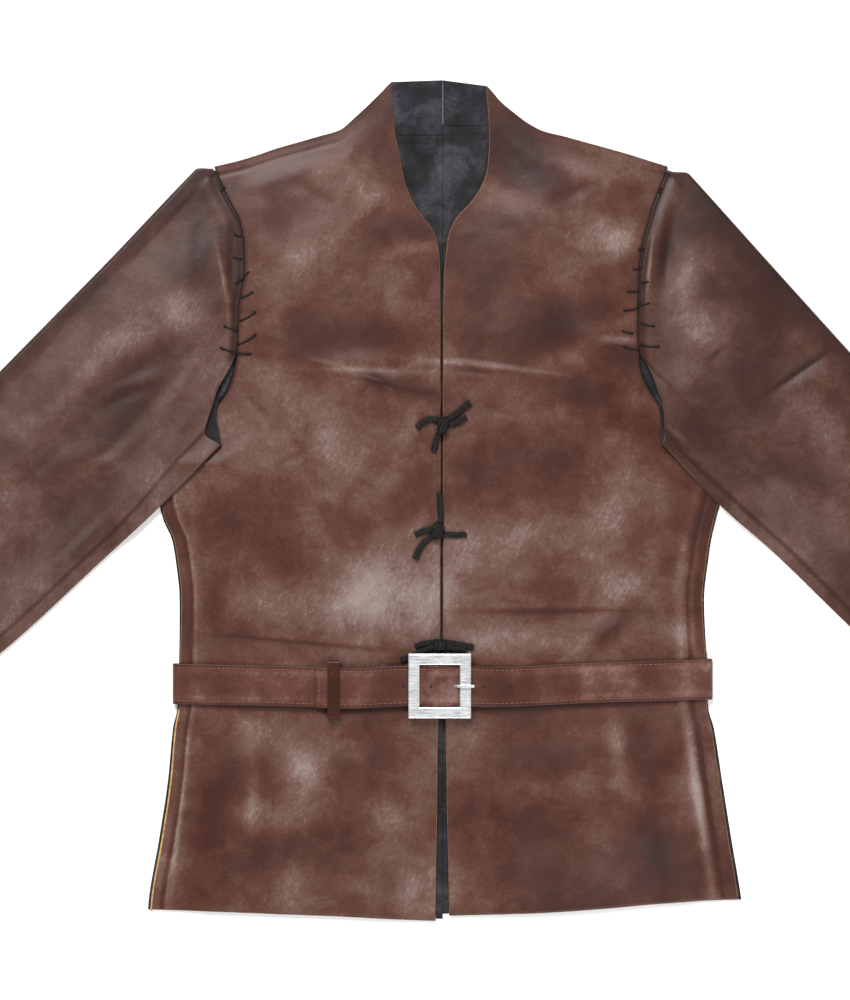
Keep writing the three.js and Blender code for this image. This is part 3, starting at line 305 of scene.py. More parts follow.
def hollow(side, dx, y):
    """Height between back and front: the loft of the middle, fading to the front edge, the hem and
    the shoulder, pressed down at the belt and closed at the side seam's flange."""
    x = side.sign * dx
    from_side = side.outer(y) - dx
    from_front = dx - side.front(y)
    from_top = side.shoulder(dx) - y
    from_hem = y - side.hem(dx)
    from_belt = np.abs(y - belt_line(x))
    inside = front_loft(y) * mix(HOLLOW["at_front"], 1, smooth(0, HOLLOW["from_front"], from_front))
    inside = inside * mix(HOLLOW["at_hem"], 1, smooth(0, HOLLOW["from_hem"], from_hem))
    inside = inside + folds(BODY_FOLDS, x, y) * smooth(0, HOLLOW["folds_from_front"], from_front)
    inside = inside * smooth(0, HOLLOW["from_shoulder"], from_top)
    inside = mix(inside, BELT["sag"], plateau(from_belt, BELT["flat"], HOLLOW["from_belt"]))
    flange = HOLLOW["flange"] * plateau(y, *HOLLOW["flange_ends"])
    open_share = smooth(flange, flange + HOLLOW["from_side"], from_side)
    return np.maximum(0, mix(armhole_loft(y), inside, open_share))


def front_bottom(side, dx, y):
    """Underside of a front: over the back's wall, a gap and the hollow."""
    return back_bottom(side.sign * dx, y) + WALL + GAP + hollow(side, dx, y)


def outside_height(x, y):
    """Outside of the fronts near the centre line, over the gap between them too."""
    x, y = np.broadcast_arrays(np.asarray(x, float), np.asarray(y, float))
    left, right = SIDES["left"], SIDES["right"]
    a = front_bottom(left, np.maximum(np.abs(x), left.front(y)), y)
    b = front_bottom(right, np.maximum(np.abs(x), right.front(y)), y)
    return np.where(x >= 0, a, b) + WALL


# ---------------------------------------------------------------- meshes

def to_metres(points):
    """From the pattern's millimetres to the frame's metres."""
    return (np.asarray(points, float).reshape(-1, 3) + SHIFT) * MM


def mesh_object(name, points, faces, material_list, face_material=None, uv=None, flat=False):
    """A piece from points in millimetres and a list of quads and triangles, its faces turned
    outwards by the sign of its volume."""
    points = to_metres(points)
    faces = [np.asarray(block, int) for block in faces]
    volume = 0.0
    for block in faces:
        for k in range(1, block.shape[1] - 1):
            a, b, c = points[block[:, 0]], points[block[:, k]], points[block[:, k + 1]]
            volume += np.einsum("ij,ij->i", a, np.cross(b, c)).sum()
    if volume < 0:
        faces = [block[:, ::-1] for block in faces]
    mesh = bpy.data.meshes.new(name)
    corners = np.concatenate([block.ravel() for block in faces])
    sizes = np.concatenate([np.full(len(block), block.shape[1]) for block in faces])
    mesh.vertices.add(len(points))
    mesh.vertices.foreach_set("co", points.ravel())
    mesh.loops.add(len(corners))
    mesh.loops.foreach_set("vertex_index", corners)
    mesh.polygons.add(len(sizes))
    mesh.polygons.foreach_set("loop_start", np.concatenate([[0], np.cumsum(sizes)[:-1]]))
    mesh.update(calc_edges=True)
    for item in material_list:
        mesh.materials.append(item)
    if face_material is not None:
        mesh.polygons.foreach_set("material_index", np.asarray(face_material, int))
    if uv is not None:
        layer = mesh.uv_layers.new(name="UVMap")
        layer.data.foreach_set("uv", np.asarray(uv, float)[corners].ravel())
    mesh.polygons.foreach_set("use_smooth", np.full(len(sizes), not flat))
    mesh.validate()
    made = bpy.data.objects.new(name, mesh)
    bpy.context.scene.collection.objects.link(made)
    return made


def set_attribute(obj, name, values):
    """One number for each vertex, for the materials."""
    layer = obj.data.attributes.new(name, "FLOAT", "POINT")
    layer.data.foreach_set("value", np.asarray(values, float).ravel())


def strip(plan, z):
    """Points from a plan of x and y, and their heights."""
    return np.concatenate([plan, z[..., None]], axis=-1)


def steps_along(points):
    """Distance from the first point to each point of a path."""
    return np.concatenate([[0], np.cumsum(np.linalg.norm(np.diff(points, axis=0), axis=1))])


def directions(points, axis=0):
    """Unit directions along a path."""
    along = np.gradient(points, axis=axis)
    return along / np.linalg.norm(along, axis=-1, keepdims=True)


def grid_quads(rows, columns, first=0):
    """Quads between neighbouring points of a grid."""
    i, j = np.meshgrid(np.arange(rows - 1), np.arange(columns - 1), indexing="ij")
    a = (first + i * columns + j).ravel()
    return np.stack([a, a + 1, a + columns + 1, a + columns], axis=1)


def border_loop(rows, columns):
    """Indices round the edge of a grid, in order."""
    low = np.arange(columns)
    right = np.arange(1, rows) * columns + columns - 1
    high = (rows - 1) * columns + np.arange(columns - 2, -1, -1)
    left = np.arange(rows - 2, 0, -1) * columns
    return np.concatenate([low, right, high, left])


EDGE_STEPS = 3  # rows of faces round a cut edge
EDGE_BULGE = 0.16
LARGEST_DRAW = 0.8  # share of a row's width that a border may move in by


def draw_back(over, low=0.0, right=0.0, high=0.0, left=0.0):
    """The outside grid with its border rows and columns moved in by the given distances, each along
    the line to its neighbour, so that the cut edge slants and shows from above."""
    out = over.copy()
    for border, neighbour, distance in (
        (np.s_[0, :], np.s_[1, :], low), (np.s_[-1, :], np.s_[-2, :], high),
        (np.s_[:, 0], np.s_[:, 1], left), (np.s_[:, -1], np.s_[:, -2], right),
    ):
        step = over[neighbour] - over[border]
        reach = np.linalg.norm(step, axis=1, keepdims=True)
        out[border] = out[border] + step / reach * np.minimum(distance, LARGEST_DRAW * reach)
    return out


def shell(name, over, under, outside, inside, edge, tone=None):
    """A sheet with an outside grid and an inside grid, joined round its border by a cut edge that
    bulges a little: points between the two borders, pushed out by a sine."""
    rows, columns = over.shape[:2]
    count = rows * columns
    top = grid_quads(rows, columns)
    low = grid_quads(rows, columns, count)[:, ::-1]
    loop = border_loop(rows, columns)
    o, u = over.reshape(-1, 3)[loop], under.reshape(-1, 3)[loop]
    along = np.roll(o, -1, axis=0) - np.roll(o, 1, axis=0)
    outward = np.cross(along, o - u)
    outward /= np.maximum(np.linalg.norm(outward, axis=1, keepdims=True), 1e-9)
    middle = over.reshape(-1, 3).mean(axis=0)
    if ((o - middle) * outward).sum() < 0:
        outward = -outward
    rings = [loop]
    extra = []
    for step in range(1, EDGE_STEPS):
        k = step / EDGE_STEPS
        extra.append(mix(o, u, k) + outward * EDGE_BULGE * sin(pi * k))
        rings.append(2 * count + (step - 1) * len(loop) + np.arange(len(loop)))
    rings.append(loop + count)
    rim = []
    for a, b in zip(rings[:-1], rings[1:]):
        rim.append(np.stack([a, b, np.roll(b, -1), np.roll(a, -1)], axis=1))
    rim = np.concatenate(rim)
    points = np.concatenate([over.reshape(-1, 3), under.reshape(-1, 3), *extra])
    faces = np.concatenate([top, low, rim])
    kinds = np.repeat([0, 1, 2], [len(top), len(low), len(rim)])
    flat = (over[..., :2] * MM).reshape(-1, 2)
    uv_all = np.concatenate([flat, flat] + [flat[loop]] * (EDGE_STEPS - 1))
    made = mesh_object(name, points, [faces], [outside, inside, edge], kinds, uv_all)
    if tone is not None:
        t = tone.ravel()
        set_attribute(made, "tone", np.concatenate([t, t] + [t[loop]] * (EDGE_STEPS - 1)))
    return made


def sweep(points, section):
    """Points of a section carried along a path: the section's first number goes sideways, square to
    the path and level, and its second square to both."""
    points = np.asarray(points, float)
    tangent = directions(points)
    side = np.cross(tangent, (0.0, 0.0, 1.0))
    side /= np.maximum(np.linalg.norm(side, axis=1, keepdims=True), 1e-9)
    normal = np.cross(side, tangent)
    sideways, upwards = section[..., 0:1], section[..., 1:2]
    return points[:, None, :] + sideways * side[:, None, :] + upwards * normal[:, None, :]


def tube_faces(stations, around, first=0, closed=False):
    """Quads of a tube, and its end caps unless it closes on itself."""
    count = stations if closed else stations - 1
    i, k = np.meshgrid(np.arange(count), np.arange(around), indexing="ij")
    nxt = (i + 1) % stations
    a = first + i * around + k
    b = first + i * around + (k + 1) % around
    c = first + nxt * around + (k + 1) % around
    d = first + nxt * around + k
    quads = np.stack([a, b, c, d], axis=-1).reshape(-1, 4)
    if closed:
        return [quads]
    last = first + (stations - 1) * around
    caps = np.array([first + np.arange(around)[::-1], last + np.arange(around)])
    return [quads, caps]


FINER = 6  # times as many points as a path keeps, to space those evenly


def through(rows, count):
    """Evenly spaced points on a cubic through the given points, its slopes taken from neighbours."""
    rows = np.asarray(rows, float)
    at = steps_along(rows)
    slope = np.gradient(rows, at, axis=0)
    fine = np.linspace(at[0], at[-1], count * FINER)
    i = np.clip(np.searchsorted(at, fine, side="right") - 1, 0, len(at) - 2)
    width = (at[i + 1] - at[i])[:, None]
    k = ((fine - at[i])[:, None]) / width
    value = (
        rows[i] * (1 + 2 * k) * (1 - k) ** 2
        + slope[i] * width * k * (1 - k) ** 2
        + rows[i + 1] * (3 - 2 * k) * k**2
        - slope[i + 1] * width * (1 - k) * k**2
    )
    length = steps_along(value)
    stops = np.linspace(0, length[-1], count)
    return np.stack([np.interp(stops, length, value[:, k]) for k in range(rows.shape[1])], axis=1)


def round_the_clock(count):
    """Angles evenly round a circle."""
    return 2 * pi * np.arange(count) / count


def oval(half_wide, half_high, count, power=2.0):
    """Super-ellipse section: round at power 2, squarer above."""
    a = round_the_clock(count)
    c, s = np.cos(a), np.sin(a)
    wide = half_wide * np.sign(c) * np.abs(c) ** (2 / power)
    high = half_high * np.sign(s) * np.abs(s) ** (2 / power)
    return np.stack([wide, high], axis=1)


# ---------------------------------------------------------------- materials

def linear(hex_colour):
    """sRGB hex to linear red, green, blue and alpha."""
    value = np.array([int(hex_colour[i : i + 2], 16) for i in (1, 3, 5)]) / 255
    value = np.where(value <= 0.04045, value / 12.92, ((value + 0.055) / 1.055) ** 2.4)
    return (*value, 1.0)


def new_material(name):
    """An empty material: itself, its nodes, its shader and the place on the piece."""
    material = bpy.data.materials.new(name)
    material.use_nodes = True
    tree = material.node_tree
    return material, tree, tree.nodes["Principled BSDF"], add(tree, "ShaderNodeTexCoord").outputs["Object"]


def add(tree, kind, values=(), links=(), **settings):
    """A node with its settings, its socket values and its incoming links."""
    node = tree.nodes.new(kind)
    for key, value in settings.items():
        setattr(node, key, value)
    for socket, value in dict(values).items():
        node.inputs[socket].default_value = value
    for socket, source in dict(links).items():
        tree.links.new(source, node.inputs[socket])
    return node


def ramp(tree, factor, stops):
    """A colour ramp from (place, hex colour) pairs."""
    node = add(tree, "ShaderNodeValToRGB", links={0: factor})
    band = node.color_ramp
    while len(band.elements) < len(stops):
        band.elements.new(0.5)
    for element, (place, colour) in zip(band.elements, stops):
        element.position = place
        element.color = linear(colour)
    return node.outputs[0]


def noise(tree, vector, size_mm, detail=4.0, rough=0.55, distort=0.0):
    """Noise whose features are about size_mm across."""
    return add(
        tree, "ShaderNodeTexNoise",
        {"Scale": 1000 / size_mm, "Detail": detail, "Roughness": rough, "Distortion": distort},
        {"Vector": vector},
    ).outputs["Fac"]


def maths(tree, operation, a, b):
    """One sum of two sockets or numbers."""
    values, links = {}, {}
    for index, item in enumerate((a, b)):
        kept = values if isinstance(item, (int, float)) else links
        kept[index] = item
    return add(tree, "ShaderNodeMath", values, links, operation=operation).outputs[0]


def weighted(tree, *pairs):
    """Sum of sockets, each times its weight."""
    total = None
    for socket, weight in pairs:
        part = socket if weight == 1 else maths(tree, "MULTIPLY", socket, weight)
        total = part if total is None else maths(tree, "ADD", total, part)
    return total


def ease(tree, value, low, high):
    """0 below low, 1 above high, smooth between."""
    return add(
        tree, "ShaderNodeMapRange", {"From Min": low, "From Max": high}, {"Value": value},
        interpolation_type="SMOOTHSTEP",
    ).outputs[0]


def dress(tree, shader, colour, rough, height=None, strength=0.0, depth_mm=0.0, gloss=None):
    """Gives a finish its colour, its roughness, and its bumps and gloss if it has its own."""
    tree.links.new(colour, shader.inputs["Base Color"])
    if isinstance(rough, float):
        shader.inputs["Roughness"].default_value = rough
    else:
        tree.links.new(rough, shader.inputs["Roughness"])
    if height is not None:
        bump = add(
            tree, "ShaderNodeBump", {"Strength": strength, "Distance": depth_mm * MM}, {"Height": height}
        )
        tree.links.new(bump.outputs[0], shader.inputs["Normal"])
    if gloss is not None:
        shader.inputs["Specular IOR Level"].default_value = gloss


# Patterns of the hide in millimetres: broad patches, blots, specks, flecks, pores and dents.
HIDE_MM = {"patch": 110, "blot": 26, "speck": 3.2, "fleck": 2.4, "pore": 1.0, "dent": 7.0}
FLECK_LENGTH = 3.2  # times its width
FLECK_SLANT = 64  # degrees
# Pale patches, partly worn wax and partly painted sheen: the tone at which they start and are full; then the
# flecks in them, partly wear and partly painted glints.
DRY_AND_SHEEN = (0.47, 0.68)  # the tone at which the wax starts to go, and has gone
FLECKED = (0.50, 0.62)


def leather_finish(name, stops, roughness=(0.43, 0.52), grain=0.45, toned=True):
    """Waxed pull-up cowhide: dark where it lies, lighter and drier where it was bent or rubbed, with
    a fine pebbled grain. Its pale, greyer patches and their flecks are partly that wear and partly
    painted sheen and glints. The tone attribute carries the broad patches, the bends and the painted
    light."""
    material, tree, shader, place = new_material(name)
    slanted = add(
        tree, "ShaderNodeMapping",
        {"Scale": (FLECK_LENGTH, 1.0, 1.0), "Rotation": (0, 0, radians(FLECK_SLANT))},
        {"Vector": place}, vector_type="TEXTURE",
    ).outputs[0]
    parts = [
        (noise(tree, place, HIDE_MM["patch"], 3.0, 0.5, 0.4), 0.60),
        (noise(tree, place, HIDE_MM["blot"], 6.0, 0.62, 0.5), 0.30),
        (noise(tree, place, HIDE_MM["speck"], 3.0, 0.6), 0.14),
    ]
    if toned:
        parts.append((add(tree, "ShaderNodeAttribute", attribute_name="tone").outputs["Fac"], 1))
    total = weighted(tree, *parts)
    dry_and_sheen = ease(tree, total, *DRY_AND_SHEEN)
    flecks_and_glints = ease(tree, noise(tree, slanted, HIDE_MM["fleck"], 3.0, 0.6, 0.8), *FLECKED)
    flecks_and_glints = maths(tree, "MULTIPLY", flecks_and_glints, dry_and_sheen)
    colour = ramp(tree, weighted(tree, (total, 1), (flecks_and_glints, 0.06)), stops)
    rough = maths(tree, "ADD", maths(tree, "MULTIPLY", dry_and_sheen, roughness[1] - roughness[0]), roughness[0])
    pores = noise(tree, place, HIDE_MM["pore"], 2.0, 0.5)
    dents = noise(tree, place, HIDE_MM["dent"], 3.0, 0.55, 0.6)
    height = weighted(tree, (flecks_and_glints, 0.28), (pores, 0.05), (dents, 0.32))
    dress(tree, shader, colour, rough, height, grain, 1.2, 0.24)
    return material


def flesh_finish():
    """Dyed flesh side of the hide: dark grey, matt, short nap in soft swirls."""
    material, tree, shader, place = new_material("dyed_flesh_side")
    cloudy = noise(tree, place, 40, 6.0, 0.65, 0.6)
    nap = noise(tree, place, 1.6, 3.0, 0.7)
    colours = [(0.32, "#121213"), (0.5, "#262528"), (0.68, "#474549")]
    colour = ramp(tree, weighted(tree, (cloudy, 0.75), (nap, 0.25)), colours)
    dress(tree, shader, colour, 0.92, nap, 0.35, 0.8, 0.12)
    return material


def edge_finish(name, dark, light):
    """Raw cut edge: fibres of the undyed middle of the hide, paler than both faces. In near-black it
    is also the painted shade inside the punched holes.
    """
    material, tree, shader, place = new_material(name)
    dress(tree, shader, ramp(tree, noise(tree, place, 5, 4.0, 0.7), [(0.3, dark), (0.7, light)]), 0.85)
    return material


# Where the cut edge darkens in the sewn armholes: where it starts and is full, in metres from the middle and
# up.
ARMHOLE_EDGE_DARKENING = {"out": (0.150, 0.160), "up": (0.030, 0.045)}


def cut_edge_finish():
    """Raw cut edge of the fronts and sleeves: tan fibres, darker in the sewn armholes."""
    material, tree, shader, place = new_material("raw_cut_edge")
    fibres = ramp(tree, noise(tree, place, 5, 4.0, 0.7), [(0.3, "#4a3023"), (0.7, "#86603f")])
    apart = add(tree, "ShaderNodeSeparateXYZ", (), {"Vector": place}).outputs
    outer = ease(tree, maths(tree, "ABSOLUTE", apart["X"], 0.0), *ARMHOLE_EDGE_DARKENING["out"])
    darkened = maths(tree, "MULTIPLY", outer, ease(tree, apart["Y"], *ARMHOLE_EDGE_DARKENING["up"]))
    mixed = add(
        tree, "ShaderNodeMix", {7: linear("#2b1712")}, {0: darkened, 6: fibres}, data_type="RGBA"
    )
    dress(tree, shader, mixed.outputs[2], 0.85)
    return material


def thread_finish(name, dark, light, ply_mm):
    """Twisted waxed thread: fine plies, with painted shade in the grooves between them."""
    material, tree, shader, place = new_material(name)
    plies = noise(tree, place, ply_mm, 2.0, 0.5)
    dress(tree, shader, ramp(tree, plies, [(0.35, dark), (0.65, light)]), 0.7, plies, 0.4, 0.3, 0.15)
    return material


def buckle_finish():
    """Brushed nickel-plated zinc: fine straight scratches and a soft, bright gloss."""
    material, tree, shader, place = new_material("brushed_nickel_buckle")
    along = add(tree, "ShaderNodeMapping", {"Scale": (1.0, 14.0, 14.0)}, {"Vector": place}).outputs[0]
    scratches = noise(tree, along, 16, 5.0, 0.7)
    total = weighted(tree, (scratches, 0.7), (noise(tree, place, 9, 4.0, 0.6), 0.3))
    colour = ramp(tree, total, [(0.33, "#b4b6b8"), (0.5, "#d6d8da"), (0.67, "#f2f3f4")])
    rough = add(
        tree, "ShaderNodeMapRange", {"From Min": 0.3, "From Max": 0.7, "To Min": 0.26, "To Max": 0.46},
        {"Value": total},
    ).outputs[0]
    dress(tree, shader, colour, rough, scratches, 0.06, 0.2)
    shader.inputs["Metallic"].default_value = 0.8
    return material


BROWN_STOPS = [
    (0.24, "#29100b"), (0.42, "#3a1b13"), (0.52, "#492a20"), (0.64, "#5c423a"), (0.84, "#80726b"),
]
SLEEVE_STOPS = [
    (0.24, "#23100b"), (0.42, "#331a13"), (0.52, "#41281f"), (0.64, "#533b33"), (0.84, "#79675e"),
]
BELT_STOPS = [(0.26, "#31150e"), (0.43, "#42231a"), (0.54, "#513027"), (0.74, "#745c56")]
KEEPER_STOPS = [(0.3, "#1f0c08"), (0.5, "#35180f"), (0.7, "#512f25")]

# Waxed cowhide with dry, pale patches that are partly painted sheen, a little darker on the sleeves,
# glossier on the strap.
waxed_leather = leather_finish("waxed_pull_up_leather", BROWN_STOPS)
sleeve_leather = leather_finish("waxed_pull_up_leather_sleeve", SLEEVE_STOPS)
belt_leather = leather_finish("waxed_strap_leather", BELT_STOPS, (0.38, 0.46), 0.4)
keeper_leather = leather_finish("waxed_keeper_leather", KEEPER_STOPS, (0.30, 0.40), 0.3, False)
# The dark, napped inside of the hide, its cut, pressed and burnished edges, and the painted shade
# inside its punched holes.
flesh_side = flesh_finish()
raw_edge = cut_edge_finish()
pressed_seam = edge_finish("pressed_seam_edge", "#37363a", "#68666b")
strap_edge = edge_finish("burnished_strap_edge", "#2a1713", "#452a23")
tan_edge = edge_finish("undyed_tan_cut_edge", "#8a6438", "#c39a5e")
hole_shadow = edge_finish("punched_hole_shadow", "#0d0706", "#1d100d")
# Brown machine thread, black hand thread and black thongs, with the size of their plies.
sewing_thread = thread_finish("waxed_sewing_thread", "#5a372b", "#8c6355", 0.8)
lacing_thread = thread_finish("thick_waxed_lacing", "#0b0909", "#1c1818", 1.2)
thong_leather = thread_finish("black_thong_leather", "#0c0a0a", "#1d1919", 2.2)
nickel = buckle_finish()


# ---------------------------------------------------------------- camera, then the cords

# Where the camera looks, how much of the height it takes in, its distance and its sensor.
VIEW = {"x": -16.2, "y": -0.6, "height": 970.0, "distance": 3000.0, "level": 9.0, "sensor": 36}
FARTHEST_SEEN_M = 20


def make_camera():
    """Straight above the jacket: its lens is the sensor times distance over the height it takes in."""
    data = bpy.data.cameras.new("camera")
    data.sensor_width = VIEW["sensor"]
    data.lens = VIEW["sensor"] * VIEW["distance"] / VIEW["height"]
    data.clip_end = FARTHEST_SEEN_M
    camera = bpy.data.objects.new("camera", data)
    camera.location = (np.array([VIEW["x"], VIEW["y"], VIEW["distance"] + VIEW["level"]]) + SHIFT) * MM
    bpy.context.scene.collection.objects.link(camera)
    bpy.context.scene.camera = camera


make_camera()

# Leather thongs of the ties: routes of their middles over the fronts, and each knot's place.
THONG = {
    "diameter": 4.2, "half_wide": 2.9, "half_thick": 1.1, "stations": 56, "around": 16, "square": 2.6,
    "reach": 4.0, "rest": 0.1, "sinks": 0.7, "sinks_from_knot": (7, 15), "swell": 0.07, "fray": 0.12,
}
TIES = {
    "top": {
        "knot": (1, 71.5, 11, 18),
        "upper": [(-24, 69), (-19, 74), (-12, 77.5), (-5, 77.5), (2, 76.5), (9, 80), (18, 86.5), (27.5, 94)],
        "lower": [(-8, 46), (-6, 54), (-3.5, 62), (0, 68.5), (6, 71.4), (14, 74.5), (24, 80)],
    },
    "middle": {
        "knot": (-4, -30.5, 11, 17),
        "upper": [(-26, -34.5), (-18, -31), (-10, -28.5), (-4, -25.5), (-1, -19), (-1.2, -10), (-2, 6)],
        "lower": [(-26, -58), (-20, -46), (-13, -38.5), (-5, -35), (4, -34.2), (14, -34.5), (24, -34)],
    },
    "bottom": {
        "knot": (-1.5, -142, 12, 12),
        "upper": [
            (-26, -142.5), (-18, -140), (-9, -138.8), (0, -138.6), (10, -139.4), (20, -141.5), (31, -143.5),
        ],
        "lower": [
            (-40, -156.4), (-31, -153), (-20, -147.8), (-10, -144.3), (0, -143.6), (10, -144.6), (24, -147),
        ],
    },
}


def highest_around(x, y):
    """Highest outside of the fronts at eight points, a thong's width round a place."""
    a = round_the_clock(8)
    reach = THONG["reach"]
    return float(outside_height(x + reach * np.cos(a), y + reach * np.sin(a)).max())


def thong(tie, end, seed):
    """A flat thong: an oval section with a frayed edge, lying on the front and passing through its
    knot clear of the leather."""
    count, around = THONG["stations"], THONG["around"]
    knot_x, knot_y = TIES[tie]["knot"][:2]
    lift = GAP + THONG["rest"] + THONG["diameter"] / 2
    path = through([(x, y, highest_around(x, y) + lift) for x, y in TIES[tie][end]], count)
    from_knot = np.hypot(path[:, 0] - knot_x, path[:, 1] - knot_y)
    path[:, 2] -= THONG["sinks"] * smooth(*THONG["sinks_from_knot"], from_knot)
    rng = np.random.default_rng(seed)
    section = oval(THONG["half_wide"], THONG["half_thick"], around, THONG["square"])
    swell = 1 + THONG["swell"] * np.convolve(rng.uniform(-1, 1, count + 4), np.ones(5) / 2, "valid")
    sections = section[None] * swell[:, None, None]
    sections[:, :, 0] += rng.uniform(-THONG["fray"], THONG["fray"], (count, around))
    made = mesh_object(
        f"thong_{tie}_{end}", sweep(path, sections), tube_faces(count, around), [thong_leather]
    )
    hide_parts(f"tie_{tie}_thong_{end}")
    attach(made, "root")


for number, tie in enumerate(TIES):
    thong(tie, "upper", 10 + number)
    thong(tie, "lower", 20 + number)


def finish_piece(made, slot, *nodes):
    """Hides the nodes a piece replaces and hangs the piece on the root; the slot it is given is not used."""
    if nodes:
        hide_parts(*nodes)
    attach(made, "root")


# A knot's bands: place along the knot, tilt in degrees, and how far out it lies.
KNOT_BANDS = ((-0.30, 8, 0.0), (0.02, -10, 0.7), (0.30, 14, 0.2), (0.0, 34, 1.3))
KNOT = {
    "stations": 36, "around": 12, "half_wide": 1.9, "half_thick": 0.85, "inset": 1.6, "outset": 0.4,
    "over_thong": 3.2, "corner": 0.75, "lean": 0.6, "clear": 0.95, "rise_in": 1.0, "rise_out": 0.5,
    "slack": 0.3, "swell": 0.08,
}


def knot(tie, seed):
    """A knot of the same thong: bands wound over both thongs, each a closed oval loop tilted a
    little, its width along the thongs."""
    knot_x, knot_y, wide, high = TIES[tie]["knot"]
    base = highest_around(knot_x, knot_y) + GAP
    top = base + 2 * GAP + THONG["diameter"] + KNOT["over_thong"]
    rng = np.random.default_rng(seed)
    points, faces = [], []
    count, around = KNOT["stations"], KNOT["around"]
    a = round_the_clock(count)
    for index, (offset, tilt, out) in enumerate(KNOT_BANDS):
        reach = high / 2 - KNOT["inset"] + KNOT["outset"] * out
        loop_y = reach * np.sign(np.cos(a)) * np.abs(np.cos(a)) ** KNOT["corner"]
        rise = (top - base) / 2 - KNOT["rise_in"] + KNOT["rise_out"] * out
        loop_z = (top + base) / 2 + KNOT["outset"] * out + rise * np.sin(a)
        slack = rng.uniform(-KNOT["slack"], KNOT["slack"])
        loop_x = offset * wide + np.tan(radians(tilt)) * loop_y * KNOT["lean"] + slack
        height = np.maximum(loop_z, base + KNOT["clear"])
        path = np.stack([knot_x + loop_x, knot_y + loop_y, height], axis=1)
        ring = np.roll(path, -1, axis=0) - np.roll(path, 1, axis=0)
        ring /= np.linalg.norm(ring, axis=1, keepdims=True)
        side = np.cross(ring, path - path.mean(axis=0))
        side /= np.linalg.norm(side, axis=1, keepdims=True)
        normal = np.cross(side, ring)
        section = oval(KNOT["half_wide"], KNOT["half_thick"], around, THONG["square"])
        swell = 1 + rng.uniform(-KNOT["swell"], KNOT["swell"], (count, 1, 1))
        grid = path[:, None] + swell * (section[:, 0:1] * side[:, None] + section[:, 1:2] * normal[:, None])
        faces += tube_faces(count, around, first=index * count * around, closed=True)
        points.append(grid.reshape(-1, 3))
    made = mesh_object(f"knot_{tie}", np.concatenate(points), faces, [thong_leather])
    finish_piece(made, "thong_leather", f"tie_{tie}_knot")


for number, tie in enumerate(TIES):
    knot(tie, 40 + number)


# ---------------------------------------------------------------- fronts, backs and neck

# How sharply a panel's rows take the shape of its hem and its top, its rows from the belt, the skirt
# and the waist, and where the belt and the hem are measured.
BORDER_POWER = 6
BELT_ROWS = [-56, -44, -31, -24, 0, 24, 31, 44, 56]
SKIRT_ROWS = [-365, -325, -285]
WAIST_ROWS = [-85, -50, -18, 12]
MEASURED_AT = {"belt_side": 256, "belt_centre": 2, "hem_side": 288, "hem_centre": 6}
# Heights at the side edge and at the centre of the same row, and how rows spread above the last.
CHEST_ROWS = [(35, 78), (118, 196)]
SPREAD = {"from": 222, "rate": 1.1}
FRONT_GRID = {"columns": 118, "rows": 290}
BACK_BEYOND_ENDS = (35, 48)  # the back's edge comes in to the front's between these heights
BACK_GRID = {"columns": 70, "rows": 170, "neck_share": 0.44, "hem_in": 2}
BAND_GRID = {"columns": 50, "rows": 30}


def row_heights(side, hem_centre, top_centre, count):
    """Heights up the side edge, and at the centre, of evenly counted rows."""
    belt_side = float(belt_line(side.sign * MEASURED_AT["belt_side"]))
    belt_centre = float(belt_line(side.sign * MEASURED_AT["belt_centre"]))
    hem_side = float(side.hem(MEASURED_AT["hem_side"]))
    sewn = [y for y in ARMHOLE["y"] if y > UNDERARM]
    by_belt = [belt_side + d for d in BELT_ROWS]
    stations = [hem_side, *SKIRT_ROWS, *by_belt, *WAIST_ROWS, UNDERARM, *sewn]
    anchors = np.array([
        (hem_side, hem_centre),
        (belt_side + BELT_ROWS[0], belt_centre + BELT_ROWS[0]),
        (belt_side + BELT_ROWS[-1], belt_centre + BELT_ROWS[-1]),
        *CHEST_ROWS,
        (SPREAD["from"], top_centre - (ARM_TOP - SPREAD["from"]) * SPREAD["rate"]),
        (ARM_TOP, top_centre),
    ])
    v = np.linspace(0, 1, count)
    edge = np.interp(v * (len(stations) - 1), np.arange(len(stations)), stations)
    return v, edge, np.interp(edge, anchors[:, 0], anchors[:, 1])


def panel_plan(rows, u, inner, outer, hem_edge, top_edge):
    """Rows run straight from the centre to the side, and the hem and the top edge bend the rows near
    them, by their own leave from the straight line times a sixth power of the way up or down."""
    v, edge, centre = rows
    x = mix(inner(centre)[:, None], outer(edge)[:, None], u[None])
    y = mix(centre[:, None], edge[:, None], u[None])
    low, high = (1 - v[:, None]) ** BORDER_POWER, v[:, None] ** BORDER_POWER
    for weight, border in ((low, hem_edge(u)), (high, top_edge(u))):
        bx, by = border
        x = x + weight * (bx - mix(bx[0], bx[-1], u))[None]
        y = y + weight * (by - mix(by[0], by[-1], u))[None]
    return x, y


def along_curve(height, start, end):
    """A border of a panel: evenly from start to end, at the height that a curve gives."""
    def border(u):
        """The border's x and y at share u of it."""
        x = mix(start, end, u)
        return x, height(x)

    return border
